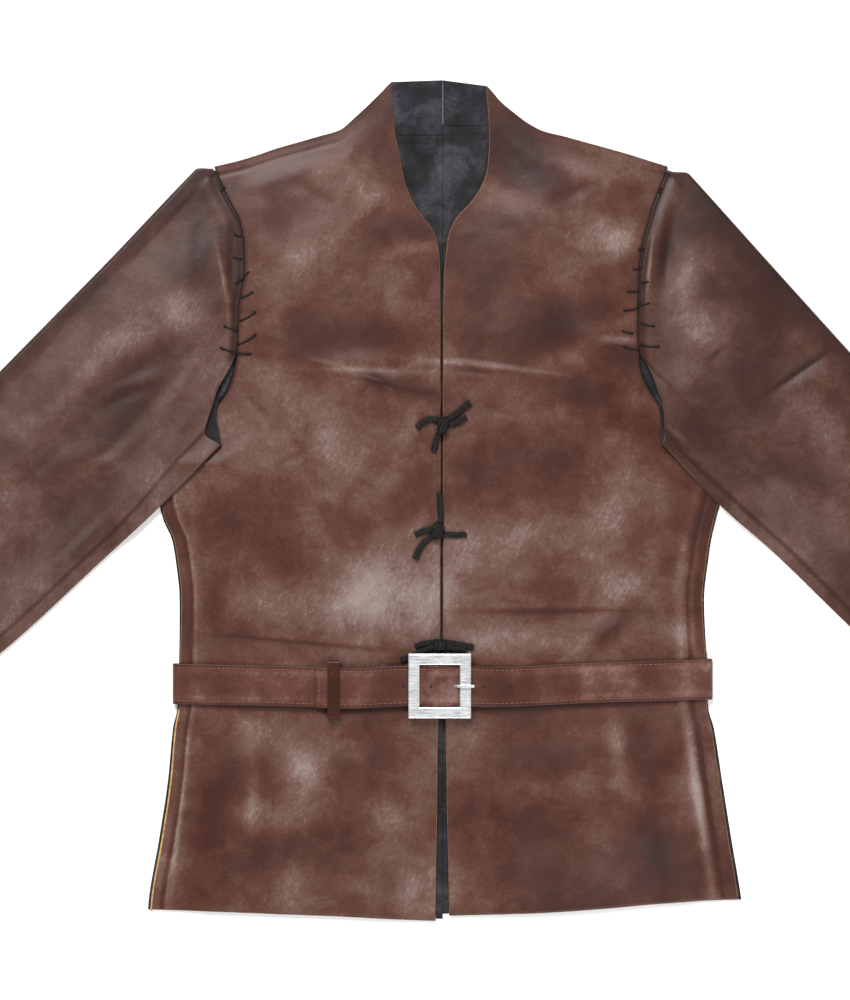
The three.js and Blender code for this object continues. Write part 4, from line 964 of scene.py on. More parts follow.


# Broad lighter (+) and darker (-) patches: partly the hide's own mottling, partly painted sheen,
# painted highlights on ridges and painted shade in creases and hollows: middle, half sizes, turn and
# strength.
TONE_AND_LIGHT_PATCHES = table(
    "x y long wide turn strength",
    (-75, 335, 36, 20, 55, 0.01), (-67, 297, 30, 18, -20, 0.14), (-113, 322, 22, 12, 20, 0.10),
    (-138, 238, 18, 16, 0, 0.10), (-24, 245, 26, 8, 8, 0.12), (-155, 290, 34, 14, 90, -0.10),
    (-26, 264, 22, 10, -10, -0.10), (-64, 158, 66, 17, 4, -0.16), (-72, 125, 58, 3, -2, 0.12),
    (-57, 112, 14, 4, -20, -0.20), (-20, 104, 20, 5, -14, -0.14), (-100, 200, 60, 30, 30, 0.04),
    (-170, 120, 30, 18, 0, 0.05), (72, 336, 36, 22, -36, -0.36), (76, 289, 26, 14, -10, 0.15),
    (136, 317, 30, 12, -14, 0.12), (171, 256, 28, 18, 10, 0.19), (124, 175, 52, 20, 22, -0.17),
    (40, 190, 30, 40, 0, -0.05), (117, 135, 28, 13, 14, 0.16), (174, 155, 18, 2.5, -3, 0.16),
    (184, 97, 20, 13, -10, 0.13), (136, 102, 30, 12, 0, -0.13), (180, 140, 14, 8, 0, -0.12),
    (40, 130, 60, 2.5, -6, 0.14), (80, 105, 30, 10, 0, 0.05), (-160, 52, 34, 18, 0, 0.07),
    (-60, 60, 50, 22, 0, 0.06), (-60, -92, 60, 50, 0, 0.22), (-178, -100, 34, 24, 0, 0.15),
    (-225, -100, 30, 12, 90, -0.12), (-140, -139, 90, 2.4, -5, -0.13), (40, -78, 34, 14, 0, -0.08),
    (92, -109, 84, 2.4, 1, -0.15), (160, -133, 30, 9, 54, -0.14), (80, -138, 60, 15, 0, 0.13),
    (180, -84, 32, 18, 0, 0.09), (218, -130, 20, 16, 0, 0.07), (70, -30, 60, 22, 0, 0.09),
    (-187, -225, 17, 14, -60, 0.14), (-132, -260, 15, 12, -40, 0.15), (-184, -294, 28, 8, 84, 0.13),
    (-50, -306, 32, 17, -20, 0.13), (-222, -305, 44, 18, 84, -0.16), (-152, -338, 36, 20, 0, -0.14),
    (-80, -232, 50, 16, 10, 0.06), (-30, -384, 30, 20, 0, 0.06), (171, -238, 34, 12, 96, 0.18),
    (249, -292, 90, 5, 98, 0.17), (208, -336, 44, 20, 97, -0.19), (22, -314, 30, 14, 90, -0.09),
    (60, -236, 56, 20, 0, 0.05), (70, -386, 50, 12, 0, 0.05), (258, -292, 50, 3, -81, -0.12),
    (-254, -300, 100, 2.6, 84, 0.13), (-254, 181, 24, 18, 60, 0.12), (-318, 138, 36, 18, 45, 0.12),
    (-285, 253, 36, 16, 45, 0.07), (-357, 105, 28, 12, 45, 0.10), (-303, 101, 30, 9, 20, -0.08),
    (-237, 244, 30, 8, 84, -0.13), (-304, 80, 50, 10, 45, -0.08), (-212, 216, 34, 3, -80, 0.12),
    (-203, 230, 36, 5, 92, -0.20), (239, 216, 26, 14, 80, 0.15), (256, 166, 34, 22, 30, 0.14),
    (214, 236, 32, 5, 84, -0.16), (201, 225, 32, 2.4, 84, 0.18), (348, 125, 34, 3.5, 34, -0.20),
    (266, 141, 8, 2.4, 40, -0.14), (229, 62, 12, 3, -36, 0.14), (300, 240, 60, 18, -47, -0.05),
    (300, 100, 50, 14, -44, -0.06), (-380, -40, 60, 16, 44, -0.05), (-440, -20, 60, 26, 44, 0.07),
    (420, 10, 50, 24, -46, 0.05), (380, 60, 40, 18, -46, 0.05), (-262, 210, 34, 26, 45, -0.06),
    (-130, -100, 90, 26, 0, 0.07), (140, -255, 80, 30, 0, -0.06), (-400, -85, 40, 24, 46, 0.07),
    (120, 200, 60, 26, 0, 0.06),
)
# Painted shade where the light falls off: darker towards the collar and on the left. The left skirt
# is darker and all below the waist lighter. Each: strength, and where it starts and is full.
COLLAR_PAINTED_SHADE, COLLAR_RANGE = 0.07, (180, 390)
LEFT_PAINTED_SHADE, LEFT_RANGE = 0.025, (0, 160)
SKIRT_DARK, SKIRT_RANGE, SKIRT_LEFT_RANGE = 0.05, (-180, -260), (0, 60)
WAIST_LIGHT, WAIST_RANGE = 0.02, (-10, -60)
# Painted highlight on ridges and painted shade in creases and folds: tone added per millimetre of relief.
PAINTED_LIGHT_FROM_RELIEF = 0.035
PAINTED_LIGHT_FROM_FOLDS = 0.4  # how much of a large fold counts as relief in the tone

# Painted shade in the groove where a sleeve is sewn to its armhole.
ARMHOLE_SHADE = 0.20
ARMHOLE_SHADE_WIDTH = 7.0

# Side seams of the fronts: the ridge and the groove, as distances inside the edge, and the ridge's
# half width.
SIDE_RELIEF = {"left": (24.0, 14.5, 5.0), "right": (14.0, 10.5, 2.0)}
# Heights of the sewn borders' relief, its half widths, and where each part starts and is full.
BORDER_RELIEF = {
    "ridge": 0.9, "groove": 0.8, "flange": 0.35, "shoulder": 0.7, "groove_wide": 1.8,
    "sewn": (70, 40), "flange_in": (34, 16), "flat_in": (16, 4), "shoulder_in": 10,
    "shoulder_wide": 2.0, "shoulder_out": (80, 100), "shoulder_room": (0.4, 1.6), "room": (0.2, 4.0),
}
# Painted light along the fronts' sewn borders: painted shade in the side seam's groove, along the side and
# along the armhole, a painted highlight on the side seam's ridge, and a painted shadow under the belt:
# strengths, and where each starts and is full.
BORDER_PAINTED_LIGHT = {
    "groove": 0.14, "ridge": 0.05, "side": 0.13, "armhole": 0.16, "belt": 0.30, "side_in": (13, 6),
    "above_belt": (-160, -140), "below_armhole": (60, 20), "armhole_in": (4, 1), "armhole_from": (90, 110),
}
BELT_SHADE = {"below": 1.5, "wide": 3.0, "fades": (270, 150)}
# Painted shadow under the belt: how far below its edge, its half width, and where it fades out towards the
# sides.
FRONT_DRAW = {"low": 0.8, "right": 1.1, "high": 0.5, "left": 0.8}


def tone_with_painted_light(x, y, relief):
    """Tone of the hide with painted light: the listed patches, plus painted highlight on ridges and painted
    shade in creases, less the painted shade towards the collar and on the left side and what the left
    skirt is darker, plus what all below the waist is lighter."""
    tone = np.zeros(x.shape)
    for px, py, long, wide, turn, strength in zip(*TONE_AND_LIGHT_PATCHES.values()):
        c, s = cos(radians(turn)), sin(radians(turn))
        along = ((x - px) * c + (y - py) * s) / long
        across = ((y - py) * c - (x - px) * s) / wide
        tone += strength * np.exp(-(along**2 + across**2))
    dark = COLLAR_PAINTED_SHADE * smooth(*COLLAR_RANGE, y) + LEFT_PAINTED_SHADE * smooth(*LEFT_RANGE, x)
    dark = dark + SKIRT_DARK * smooth(*SKIRT_RANGE, y) * smooth(*SKIRT_LEFT_RANGE, x)
    dark = dark - WAIST_LIGHT * smooth(*WAIST_RANGE, y)
    return tone + PAINTED_LIGHT_FROM_RELIEF * relief - dark


def front_panel(name):
    """A front from its edge to its side seam: the back's height plus the hollow, with creases where
    it is free, a ridge and a groove along the side seam, and a groove along the shoulder seam. Returns
    its outside points."""
    side = SIDES[name]
    tip = TIP[name]
    u = np.linspace(0, 1, FRONT_GRID["columns"])
    rows = row_heights(side, float(side.hem(MEASURED_AT["hem_centre"])), tip[1], FRONT_GRID["rows"])

    def top(x):
        """Flat over the collar's tip, then the shoulder."""
        return np.where(x < tip[0] + 1, tip[1], side.shoulder(x))

    dx, y = panel_plan(
        rows, u, side.front, side.outer,
        along_curve(side.hem, float(side.front(FRONT_EDGE["y"][0])), float(side.outer(rows[1][0]))),
        along_curve(top, tip[0], float(side.outer(ARM_TOP))),
    )
    x = side.sign * dx
    room = hollow(side, dx, y)
    from_side = side.outer(y) - dx
    from_top = side.shoulder(dx) - y
    high = BORDER_RELIEF
    ridge_at, groove_at, ridge_wide = SIDE_RELIEF[name]
    sewn = smooth(*high["sewn"], y)
    ridge = sewn * bell(from_side - ridge_at, ridge_wide)
    groove = sewn * bell(from_side - groove_at, high["groove_wide"])
    flange = smooth(*high["flange_in"], from_side) * sewn
    shoulder = bell(from_top - high["shoulder_in"], high["shoulder_wide"])
    shoulder = shoulder * smooth(*high["shoulder_out"], dx) * smooth(*high["shoulder_room"], room)
    relief = (folds(BODY_CREASES, x, y) + waves(x, y, 7)) * smooth(*high["room"], room)
    relief = relief * (1 - smooth(*high["flat_in"], from_side))
    relief = relief + high["ridge"] * ridge - high["groove"] * groove + high["flange"] * flange
    relief = relief - high["shoulder"] * shoulder
    plan = np.stack([x, y], axis=-1)
    bottom = back_bottom(x, y) + WALL + GAP + room + relief
    under, over = strip(plan, bottom), strip(plan, bottom + WALL)

    # Tone with painted light: painted highlight on ridges and folds, painted shade in creases, in the side
    # seam's groove, along the side and the armhole, and a painted shadow under the belt.
    tone = tone_with_painted_light(x, y, relief + PAINTED_LIGHT_FROM_FOLDS * folds(BODY_FOLDS, x, y))
    shade = BORDER_PAINTED_LIGHT
    tone = tone - shade["groove"] * groove + shade["ridge"] * ridge
    painted_side_shade = smooth(*shade["side_in"], from_side) * smooth(*shade["above_belt"], y)
    painted_side_shade = painted_side_shade * smooth(*shade["below_armhole"], y)
    painted_armhole_shade = smooth(*shade["armhole_in"], from_side) * smooth(*shade["armhole_from"], y)
    under_belt = belt_line(x) - BELT["width"] / 2 - y
    painted_belt_shadow = bell(under_belt - BELT_SHADE["below"], BELT_SHADE["wide"]) * smooth(*BELT_SHADE["fades"], dx)
    tone = tone - shade["side"] * painted_side_shade - shade["armhole"] * painted_armhole_shade - shade["belt"] * painted_belt_shadow
    slanted = draw_back(over, **FRONT_DRAW)
    made = shell(f"front_{name}_leather", slanted, under, waxed_leather, flesh_side, raw_edge, tone)
    finish_piece(made, "waxed_leather", f"front_{name}")
    return over


def neck_corner(side):
    """Distance from the centre at which the neck seam meets the collar outline."""
    x = 60.0
    while side.shoulder(x) > NECK_SEAM[side.name]:
        x += 0.5
    return x


def centre_seam(side):
    """Distance of a back's edge from the centre line, on its own side of the seam."""
    return side.sign * CENTRE_BACK["x"] + CENTRE_BACK["half"]


def back_panel(name):
    """A back from the centre seam to the side, its top edge the neck seam and then the shoulder."""
    side = SIDES[name]
    seam_y = NECK_SEAM[name]
    start, corner = centre_seam(side), neck_corner(side)
    share = BACK_GRID["neck_share"]
    u = np.unique(np.concatenate([np.linspace(0, 1, BACK_GRID["columns"]), [share]]))
    hem_centre = float(side.hem(MEASURED_AT["hem_centre"])) + BACK_GRID["hem_in"]
    rows = row_heights(side, hem_centre, seam_y, BACK_GRID["rows"])

    def outer(y):
        """Side seam and armhole, a little beyond the front's."""
        return side.outer(y) + back_beyond(y) * plateau(y, *BACK_BEYOND_ENDS)

    def top(u):
        """Level along the neck seam, then along the shoulder."""
        out = mix(corner, float(side.outer(ARM_TOP)), (u - share) / (1 - share))
        x = np.where(u <= share, mix(start, corner, u / share), out)
        return x, np.where(u <= share, seam_y, side.shoulder(x))

    dx, y = panel_plan(
        rows, u, lambda y: np.full(y.shape, start), outer,
        along_curve(side.hem, start, float(outer(rows[1][0]))), top,
    )
    x = side.sign * dx
    plan, bottom = np.stack([x, y], axis=-1), back_bottom(x, y)
    tone = tone_with_painted_light(x, y, np.zeros(x.shape))
    made = shell(
        f"back_{name}_leather", strip(plan, bottom), strip(plan, bottom + WALL),
        waxed_leather, flesh_side, flesh_side, tone,
    )
    finish_piece(made, "waxed_leather", f"back_{name}")


def neck_band(name):
    """Half of the collar's back: from the centre seam to the front's collar, lying on the floor."""
    side = SIDES[name]
    tip = TIP[name]
    low = NECK_SEAM[name] + GAP
    v = np.linspace(0, 1, BAND_GRID["rows"])[:, None]
    u = np.linspace(0, 1, BAND_GRID["columns"])[None]
    end_x = mix(neck_corner(side) - GAP, tip[0], v)
    end_y = np.where(v == 0, low, np.minimum(side.shoulder(end_x), tip[1]))
    x = side.sign * mix(centre_seam(side), end_x, u)
    plan = np.stack([x, mix(mix(low, NECK_TOP, v), end_y, u)], axis=-1)
    zero = np.zeros(x.shape)
    made = shell(
        f"neck_band_{name}_leather", strip(plan, zero), strip(plan, zero + WALL),
        waxed_leather, flesh_side, flesh_side, zero,
    )
    finish_piece(made, "flesh_side", f"neck_band_{name}")


# ---------------------------------------------------------------- sleeves

SLEEVE = {
    "left": {"x": 238.5, "y": 318.0, "slope": 47.9, "length": 640.0},
    "right": {"x": -236.0, "y": 321.0, "slope": 45.5, "length": 640.0},
}
SLEEVE_WIDTH = table(
    "s left right",
    (0, 193, 202), (184, 193, 202), (262, 191, 202.5), (344, 184, 199), (450, 177, 194), (640, 152, 160),
)
HEAD_DROP = table("s drop", (-14, 10), (-3, 1.5), (6, 0), (640, 0))
SLEEVE_COLUMNS = table(
    "across y",
    (0.08, 318), (0.15, 304), (0.24, 288), (0.34, 270), (0.43, 246), (0.52, 222), (0.6, 193),
    (0.68, 168), (0.74, 145), (0.775, 132), (0.805, 118), (0.835, 106), (0.865, 95), (0.9, 80),
    (0.94, 64), (1.0, 53),
)
SLIT = table(
    "y over_left over_right under_left under_right open",
    (53, 214.5, 214.5, 213.5, 214.0, 0), (64, 216.0, 230.0, 213.5, 216.0, 0),
    (80, 215.5, 226.0, 212.5, 219.0, 2.2), (95, 213.0, 221.0, 210.0, 217.0, 3.6),
    (106, 209.0, 217.5, 203.8, 209.8, 4.4), (118, 205.0, 211.0, 197.8, 205.2, 5.0),
    (132, 198.6, 203.6, 193.6, 201.6, 5.4), (140, 194.6, 200.8, 192.4, 199.8, 5.8),
)
SLEEVE_LOFT = table("s loft", (-14, 7.0), (120, 11.0), (300, 11.5), (450, 9.5), (640, 8.0))
# Where a sleeve is sewn, where its slit closes, the loft of its top fold, the flange at its seam,
# what it lies above the body, and how far out from the body that fades.
SEWN_FROM = (128, 146)
SLIT_CLOSES = (133, 147)
FOLD_LOFT = 4.4
SLEEVE_FLANGE = 0.935
SLEEVE_REST = 1.3
UNDERARM_MARGIN, UNDERARM_RAMP = 28.0, 66.0
SLEEVE_GRID = {"columns": 86, "rows": 230, "crowding": 1.12, "flat": 6, "turn": 19}
# Relief of a sleeve: a ridge and a groove behind its sewn mouth, as place, half width and height,
# then its seam's groove, half width and depth, the raised flange beyond and where it starts, and the
# painted shade in the seam's groove.
MOUTH_RIDGE = (15, 7, 1.1)
MOUTH_GROOVE = (4, 4, 0.9)
SLEEVE_SEAM = {"wide": 2.0, "deep": 0.45, "flange": 0.5, "flange_in": (14, 2), "tone": 3.5}
# How far from the mouth the columns straighten and the layers part, what the lower layer rests on,
# where the loft rises across the sleeve, and where the top fold opens.
SLEEVE_SHAPE = {
    "straightens": 150, "rest_ends": (97, 140), "body_in": 2, "flange_to": 0.66, "fold_to": 0.34,
    "folds_from": (0.05, 0.2), "parts": 70, "opens": 30, "fold_starts": (-14, 3), "free": (0.4, 4.0),
    "free_from_mouth": 9, "waves": 17,
}
FOLD_SHADE = {"strength": 0.12, "columns": 12}
TIGHTEST_FOLD = 3.0

slit_open = curve(SLIT, "y", "open")
sleeve_loft = curve(SLEEVE_LOFT, "s", "loft")
head_drop = curve(HEAD_DROP, "s", "drop")


class Sleeve:
    """One sleeve's own axes, s down its top edge and n across it, and its curves."""

    def __init__(self, name):
        """Reads the sleeve's columns, and turns its axes by its slope."""
        self.side = SIDES[name]
        self.sign = SIGN[name]
        self.length = SLEEVE[name]["length"]
        turn = radians(SLEEVE[name]["slope"])
        self.head = np.array([SLEEVE[name]["x"], SLEEVE[name]["y"]])
        self.along = np.array([self.sign * cos(turn), -sin(turn)])
        self.across = np.array([-self.sign * sin(turn), -cos(turn)])
        self.width = curve(SLEEVE_WIDTH, "s", name)
        self.edges = {"over": curve(SLIT, "y", "over_" + name), "under": curve(SLIT, "y", "under_" + name)}

    def mouth(self, layer, y):
        """Where a column of a layer starts, in the sleeve's own axes."""
        sewn = self.side.outer(y) + ARM_GAP
        x = self.sign * mix(self.edges[layer](y), sewn, smooth(*SLIT_CLOSES, y))
        away = np.stack([x, y], axis=-1) - self.head
        return away @ self.along, away @ self.across

    def layer_points(self, layer, across, y, share):
        """A layer's points down the sleeve: from its mouth they settle into straight columns, at
        their share of the sleeve's width. Gives s, where s starts, and x and y."""
        start_s, start_n = self.mouth(layer, y)
        s = mix(start_s[None], self.length, share[:, None])
        drop = head_drop(s)
        settled = drop + across[None] * (self.width(s) - drop)
        straight = smooth(0, SLEEVE_SHAPE["straightens"], s - start_s[None])
        n = mix(np.broadcast_to(start_n[None], s.shape), settled, straight)
        plan = self.head + s[..., None] * self.along + n[..., None] * self.across
        return s, start_s[None], plan

    def low_bottom(self, plan):
        """Underside of the lower layer: on the floor, and over the body at the underarm."""
        x, y = plan[..., 0], plan[..., 1]
        dx = self.sign * x
        inside = self.side.outer(y) + SLEEVE_SHAPE["body_in"] - dx
        near = plateau(-inside, UNDERARM_MARGIN, UNDERARM_RAMP)
        share = near * plateau(y, *SLEEVE_SHAPE["rest_ends"])
        body = np.where(inside > 0, hollow(self.side, dx, y), 0.0)
        return share * (2 * WALL + GAP + SLEEVE_REST + body)

    def stand_off(self, across, y, start, s, plan):
        """Height of the upper layer over the lower one, less the wall and a gap."""
        shape = SLEEVE_SHAPE
        flange = smooth(SLEEVE_FLANGE, shape["flange_to"], across)
        inside = mix(FOLD_LOFT, sleeve_loft(s), smooth(0, shape["fold_to"], across))
        fold = folds(SLEEVE_FOLDS, plan[..., 0], plan[..., 1]) * smooth(*shape["folds_from"], across)
        edge = mix(slit_open(y), armhole_loft(y), smooth(*SLIT_CLOSES, y))
        return np.maximum(0, mix(edge, (inside + fold) * flange, smooth(0, shape["parts"], s - start)))


def sleeve_relief(arm, layer, across, mouth_y, rise):
    """Creases and waves where the upper layer is free, a groove and a ridge along the sewn mouth, and
    a flange along the seam. Gives the relief, the seam's bell, how far the mouth is sewn, and the
    distance from it."""
    s, start, plan = layer
    x, y = plan[..., 0], plan[..., 1]
    from_mouth = s - start
    sewn = smooth(*SEWN_FROM, mouth_y)[None]
    free = smooth(*SLEEVE_SHAPE["free"], rise) * smooth(0, SLEEVE_SHAPE["free_from_mouth"], from_mouth)
    relief = (folds(SLEEVE_CREASES, x, y) + waves(x, y, SLEEVE_SHAPE["waves"])) * free
    for (place, wide, high), way in ((MOUTH_RIDGE, 1), (MOUTH_GROOVE, -1)):
        relief = relief + sewn * way * high * bell(from_mouth - place, wide)
    to_seam = (SLEEVE_FLANGE - across[None]) * arm.width(s)
    seam = bell(to_seam, SLEEVE_SEAM["wide"])
    flange = smooth(*SLEEVE_SEAM["flange_in"], to_seam)
    relief = relief * (1 - flange) + SLEEVE_SEAM["flange"] * flange - SLEEVE_SEAM["deep"] * seam
    return relief, seam, sewn, from_mouth


def sleeve(name):
    """One sheet: up the lower layer, round the fold of the top edge, and down the upper layer.
    Returns the outside points of both layers."""
    arm = Sleeve(name)
    index = np.arange(len(SLEEVE_COLUMNS["y"]))
    fine = np.linspace(0, index[-1], SLEEVE_GRID["columns"])
    across = np.interp(fine, index, SLEEVE_COLUMNS["across"])
    mouth_y = np.interp(fine, index, SLEEVE_COLUMNS["y"])
    share = np.linspace(0, 1, SLEEVE_GRID["rows"]) ** SLEEVE_GRID["crowding"]
    plan_low = arm.layer_points("under", across, mouth_y, share)[2]
    z_low = arm.low_bottom(plan_low)
    layer = arm.layer_points("over", across, mouth_y, share)
    s_top, start_top, plan_top = layer
    rise = arm.stand_off(across[None], mouth_y[None], start_top, s_top, plan_top)
    relief, seam, sewn, from_mouth = sleeve_relief(arm, layer, across, mouth_y, rise)
    z_top = arm.low_bottom(plan_top) + WALL + GAP + rise + relief

    first = plan_top[:, 0]
    s0 = s_top[:, 0]
    half = WALL + rise[:, 0] / 2 + GAP / 2
    reach = mix(TIGHTEST_FOLD, half, smooth(0, SLEEVE_SHAPE["opens"], s0 - start_top[0, 0]))
    to_edge = across[0] * (arm.width(s0) - head_drop(s0))
    travel = (to_edge - reach) * smooth(*SLEEVE_SHAPE["fold_starts"], s0)
    centre = first - travel[:, None] * arm.across
    steps = np.linspace(0, 1, SLEEVE_GRID["flat"])[1:]
    angles = np.radians(np.linspace(-90, 90, SLEEVE_GRID["turn"])[1:-1])

    def towards(z):
        """Flat stretch from the first column to where the fold starts."""
        plan = first[:, None] - steps[None, :, None] * travel[:, None, None] * arm.across
        return strip(plan, np.broadcast_to(z[:, None], plan.shape[:2]))

    def turn(shrink):
        """The fold: half an oval from the lower layer to the upper, less the wall on its inside."""
        out = -np.cos(angles)[None] * (reach[:, None] - shrink)
        z = half[:, None] + (half[:, None] - shrink) * np.sin(angles)[None]
        return strip(centre[:, None] + out[..., None] * arm.across, z)

    zero = np.zeros(len(share))
    outside = np.concatenate([
        strip(plan_low, z_low)[:, ::-1], towards(zero), turn(0.0),
        towards(2 * half)[:, ::-1], strip(plan_top, z_top + WALL),
    ], axis=1)
    inside = np.concatenate([
        strip(plan_low, z_low + WALL)[:, ::-1], towards(zero + WALL), turn(WALL),
        towards(2 * half - WALL)[:, ::-1], strip(plan_top, z_top),
    ], axis=1)

    upper = np.s_[:, -plan_top.shape[1]:]
    # Tone with painted light: painted highlight and shade from the upper layer's relief and folds, painted
    # shade in its seam's groove and in the sewn armhole's groove, and painted shade along the top fold.
    shade = np.zeros(outside.shape[:2])
    large = PAINTED_LIGHT_FROM_FOLDS * folds(SLEEVE_FOLDS, plan_top[..., 0], plan_top[..., 1])
    shade[upper] = relief + large - SLEEVE_SEAM["tone"] * seam
    tone = tone_with_painted_light(outside[..., 0], outside[..., 1], shade)
    tone[upper] -= ARMHOLE_SHADE * sewn * bell(from_mouth, ARMHOLE_SHADE_WIDTH)
    column = np.arange(outside.shape[1])
    from_fold = np.abs(column - (outside.shape[1] - 1) / 2) - len(angles) / 2
    tone = tone - FOLD_SHADE["strength"] * smooth(FOLD_SHADE["columns"], 0, from_fold)[None]
    made = shell(f"sleeve_{name}_leather", outside, inside, sleeve_leather, flesh_side, raw_edge, tone)
    finish_piece(made, "sleeve_leather", f"sleeve_{name}")
    return strip(plan_top, z_top + WALL), strip(plan_low, z_low + WALL)


fronts = {name: front_panel(name) for name in SIDES}
for name in SIDES:
    back_panel(name)
for name in SIDES:
    neck_band(name)
sleeves = {name: sleeve(name) for name in SIDES}

# Heights of the bands inside the garment: on the back's inside, and a hair over a sleeve's layer.
BAND_LEVEL = WALL + 0.05
BAND_THICK = 0.5
BAND_REST = 0.1
BAND_COLUMNS, BAND_ROWS = 12, 40
ALLOWANCE = {"from": 66, "to": 146, "in": 0.3, "out": 6.0, "climbs_by": 0.35, "rows": 60, "columns": 14}


def nearest(cloud, x, y):
    """Height of the cloud's point nearest to each place, seen from above."""
    away = (cloud[:, 0] - x[..., None]) ** 2 + (cloud[:, 1] - y[..., None]) ** 2
    return cloud[away.argmin(-1), 2]


def underarm_allowance(name):
    """Seam allowance inside the underarm slit: it leaves the armhole's edge on the back panel, climbs
    to the sleeve's under layer and lies on it, its height easing from one to the other."""
    side = SIDES[name]
    slit_edge = curve(SLIT, "y", "under_" + name)
    y = np.linspace(ALLOWANCE["from"], ALLOWANCE["to"], ALLOWANCE["rows"])[:, None]
    share = np.linspace(0, 1, ALLOWANCE["columns"])[None]
    start = side.outer(y) - ALLOWANCE["in"]
    end = np.maximum(slit_edge(y), side.outer(y)) + ALLOWANCE["out"]
    x = side.sign * mix(start, end, share)
    y = np.broadcast_to(y, x.shape)
    lying = nearest(sleeves[name][1].reshape(-1, 3), x, y) + BAND_REST
    z = mix(BAND_LEVEL, lying, smooth(0.0, ALLOWANCE["climbs_by"], share))
    under = np.stack([x, y, z], axis=-1)
    over = under + (0, 0, BAND_THICK)
    made = shell(f"underarm_allowance_{name}", over, under, flesh_side, flesh_side, flesh_side)
    finish_piece(made, "flesh_side")


# Flat bands on the inside of the back: corners in order round each, material and thickness.
BANDS = {
    "armhole_allowance_left": (
        ((206, 296), (228, 296), (226, 318), (209, 319.5)), flesh_side, BAND_THICK,
    ),
    "armhole_allowance_right": (
        ((-228, 298), (-206, 298), (-209, 320.5), (-227, 319)), flesh_side, BAND_THICK,
    ),
    "centre_back_allowance_left": (
        ((1.5, 120), (9.6, 120), (9.4, 362.4), (1.5, 362.4)), flesh_side, BAND_THICK,
    ),
    "centre_back_allowance_right": (
        ((-4.4, 120), (0.6, 120), (0.6, 353.6), (-4.0, 353.6)), flesh_side, BAND_THICK,
    ),
    "neck_allowance_left": (
        ((9.8, 355.4), (62, 355.4), (70, 362.7), (9.8, 362.7)), flesh_side, 0.4,
    ),
    "neck_allowance_right": (
        ((-74, 346.6), (-4.6, 346.6), (-4.6, 353.7), (-82, 353.7)), flesh_side, 0.4,
    ),
    "neck_band_seam": (((0.7, 364.5), (1.4, 364.5), (1.4, 406.6), (0.7, 406.6)), pressed_seam, 0.3),
}


def flat_band(name, corners, material, thick):
    """A flat strip lying on the inside of the back: a bilinear patch between four corners."""
    a, b, c, d = np.array(corners, float)
    u = np.linspace(0, 1, BAND_COLUMNS)[None, :, None]
    v = np.linspace(0, 1, BAND_ROWS)[:, None, None]
    plan = mix(mix(a, b, u), mix(d, c, u), v)
    under = strip(plan, np.full(plan.shape[:2], BAND_LEVEL))
    made = shell(name, under + (0, 0, thick), under, material, material, material)
    finish_piece(made, "flesh_side")


for name in SIDES:
    underarm_allowance(name)
for name, (corners, material, thick) in BANDS.items():
    flat_band(name, corners, material, thick)

TAN_EDGE = {
    "from": -204, "to": -400, "count": 60, "in": 0.6, "sunk": 0.15, "half_wide": 0.85, "half_high": 0.3,
    "around": 10,
}


def tan_side_edge():
    """The undyed cut edge of the right front's skirt, a narrow tan line along the panel's side: an
    oval cord of fibres that follows the edge."""
    y = np.linspace(TAN_EDGE["from"], TAN_EDGE["to"], TAN_EDGE["count"])
    x = -(SIDES["right"].outer(y) - TAN_EDGE["in"])
    z = nearest(fronts["right"].reshape(-1, 3), x, y) - TAN_EDGE["sunk"]
    around = TAN_EDGE["around"]
    grid = sweep(np.stack([x, y, z], axis=1), oval(TAN_EDGE["half_wide"], TAN_EDGE["half_high"], around))
    made = mesh_object("tan_side_edge", grid, tube_faces(TAN_EDGE["count"], around), [tan_edge])
    finish_piece(made, "waxed_leather")


tan_side_edge()

# ---------------------------------------------------------------- belt, keeper and buckle

# Heights of the strap's middle: over the fronts, one layer on another, on the floor and at the buckle's
# middle bar, where the strap turns down at the sides, its run under the back, and the eye's turn.
FRONT_TOP = BELT["thick"] + GAP + WALL + GAP + BELT["sag"] + WALL
STRAP_REST = FRONT_TOP + GAP + BELT["thick"] / 2
STRAP_STEP = BELT["thick"] + GAP
BAR = {"x": -5.0, "radius": 1.6}
EYE_RADIUS = BAR["radius"] + GAP + BELT["thick"] / 2
BAR_HEIGHT = STRAP_REST + EYE_RADIUS
BELT_TURN = {"left": 258.2, "right": -256.2, "steps": 8}
BACK_RUN = (200, 120, 40, -40, -120, -200)
EYE = {"from": 100, "to": -90, "steps": 9, "tail": (7, 13)}
FLOOR_RUN = BELT["thick"] / 2
LOWER_STRAP = table(
    "x rise",
    (-246, 0), (-190, 0), (-126, 0), (-113, 1.9), (-105, 1.9), (-97, 1.9), (-82, 0.5), (-62, 0.2),
    (-44, 0.7), (-33, 1.2), (-22, 1.6), (-14, 4.0),
)
UPPER_STRAP = table(
    "x rise",
    (-122.7, 0.2), (-113, 1.9), (-105, 1.9), (-97, 1.9), (-82, 0.6), (-62, 0.3), (-44, 0.8),
    (-33, 1.3), (-23, 1.8), (-16, 4.0), (-10.5, 6.0), (-5, 6.6), (0.5, 6.1), (7, 4.2), (14, 2.2),
    (20, 1.3), (29, 0.4), (40, -1.2), (54, -2.5), (66, -2.7), (110, -2.7), (180, -2.7), (246, -2.7),
)


STRAP_STATIONS = 720
STRAP_COLUMNS = 26
STRAP_CORNER = {"radius": 0.6, "steps": 7, "edge": 0.55}
# The pressed groove of the stitch lines, its place inside the edge, half width and depth.
STITCH_GROOVE = {"in": 3.6, "wide": 0.8, "deep": 0.22}
STRAP_WAVER = {"high": 0.105, "size": 30, "seed": 31}
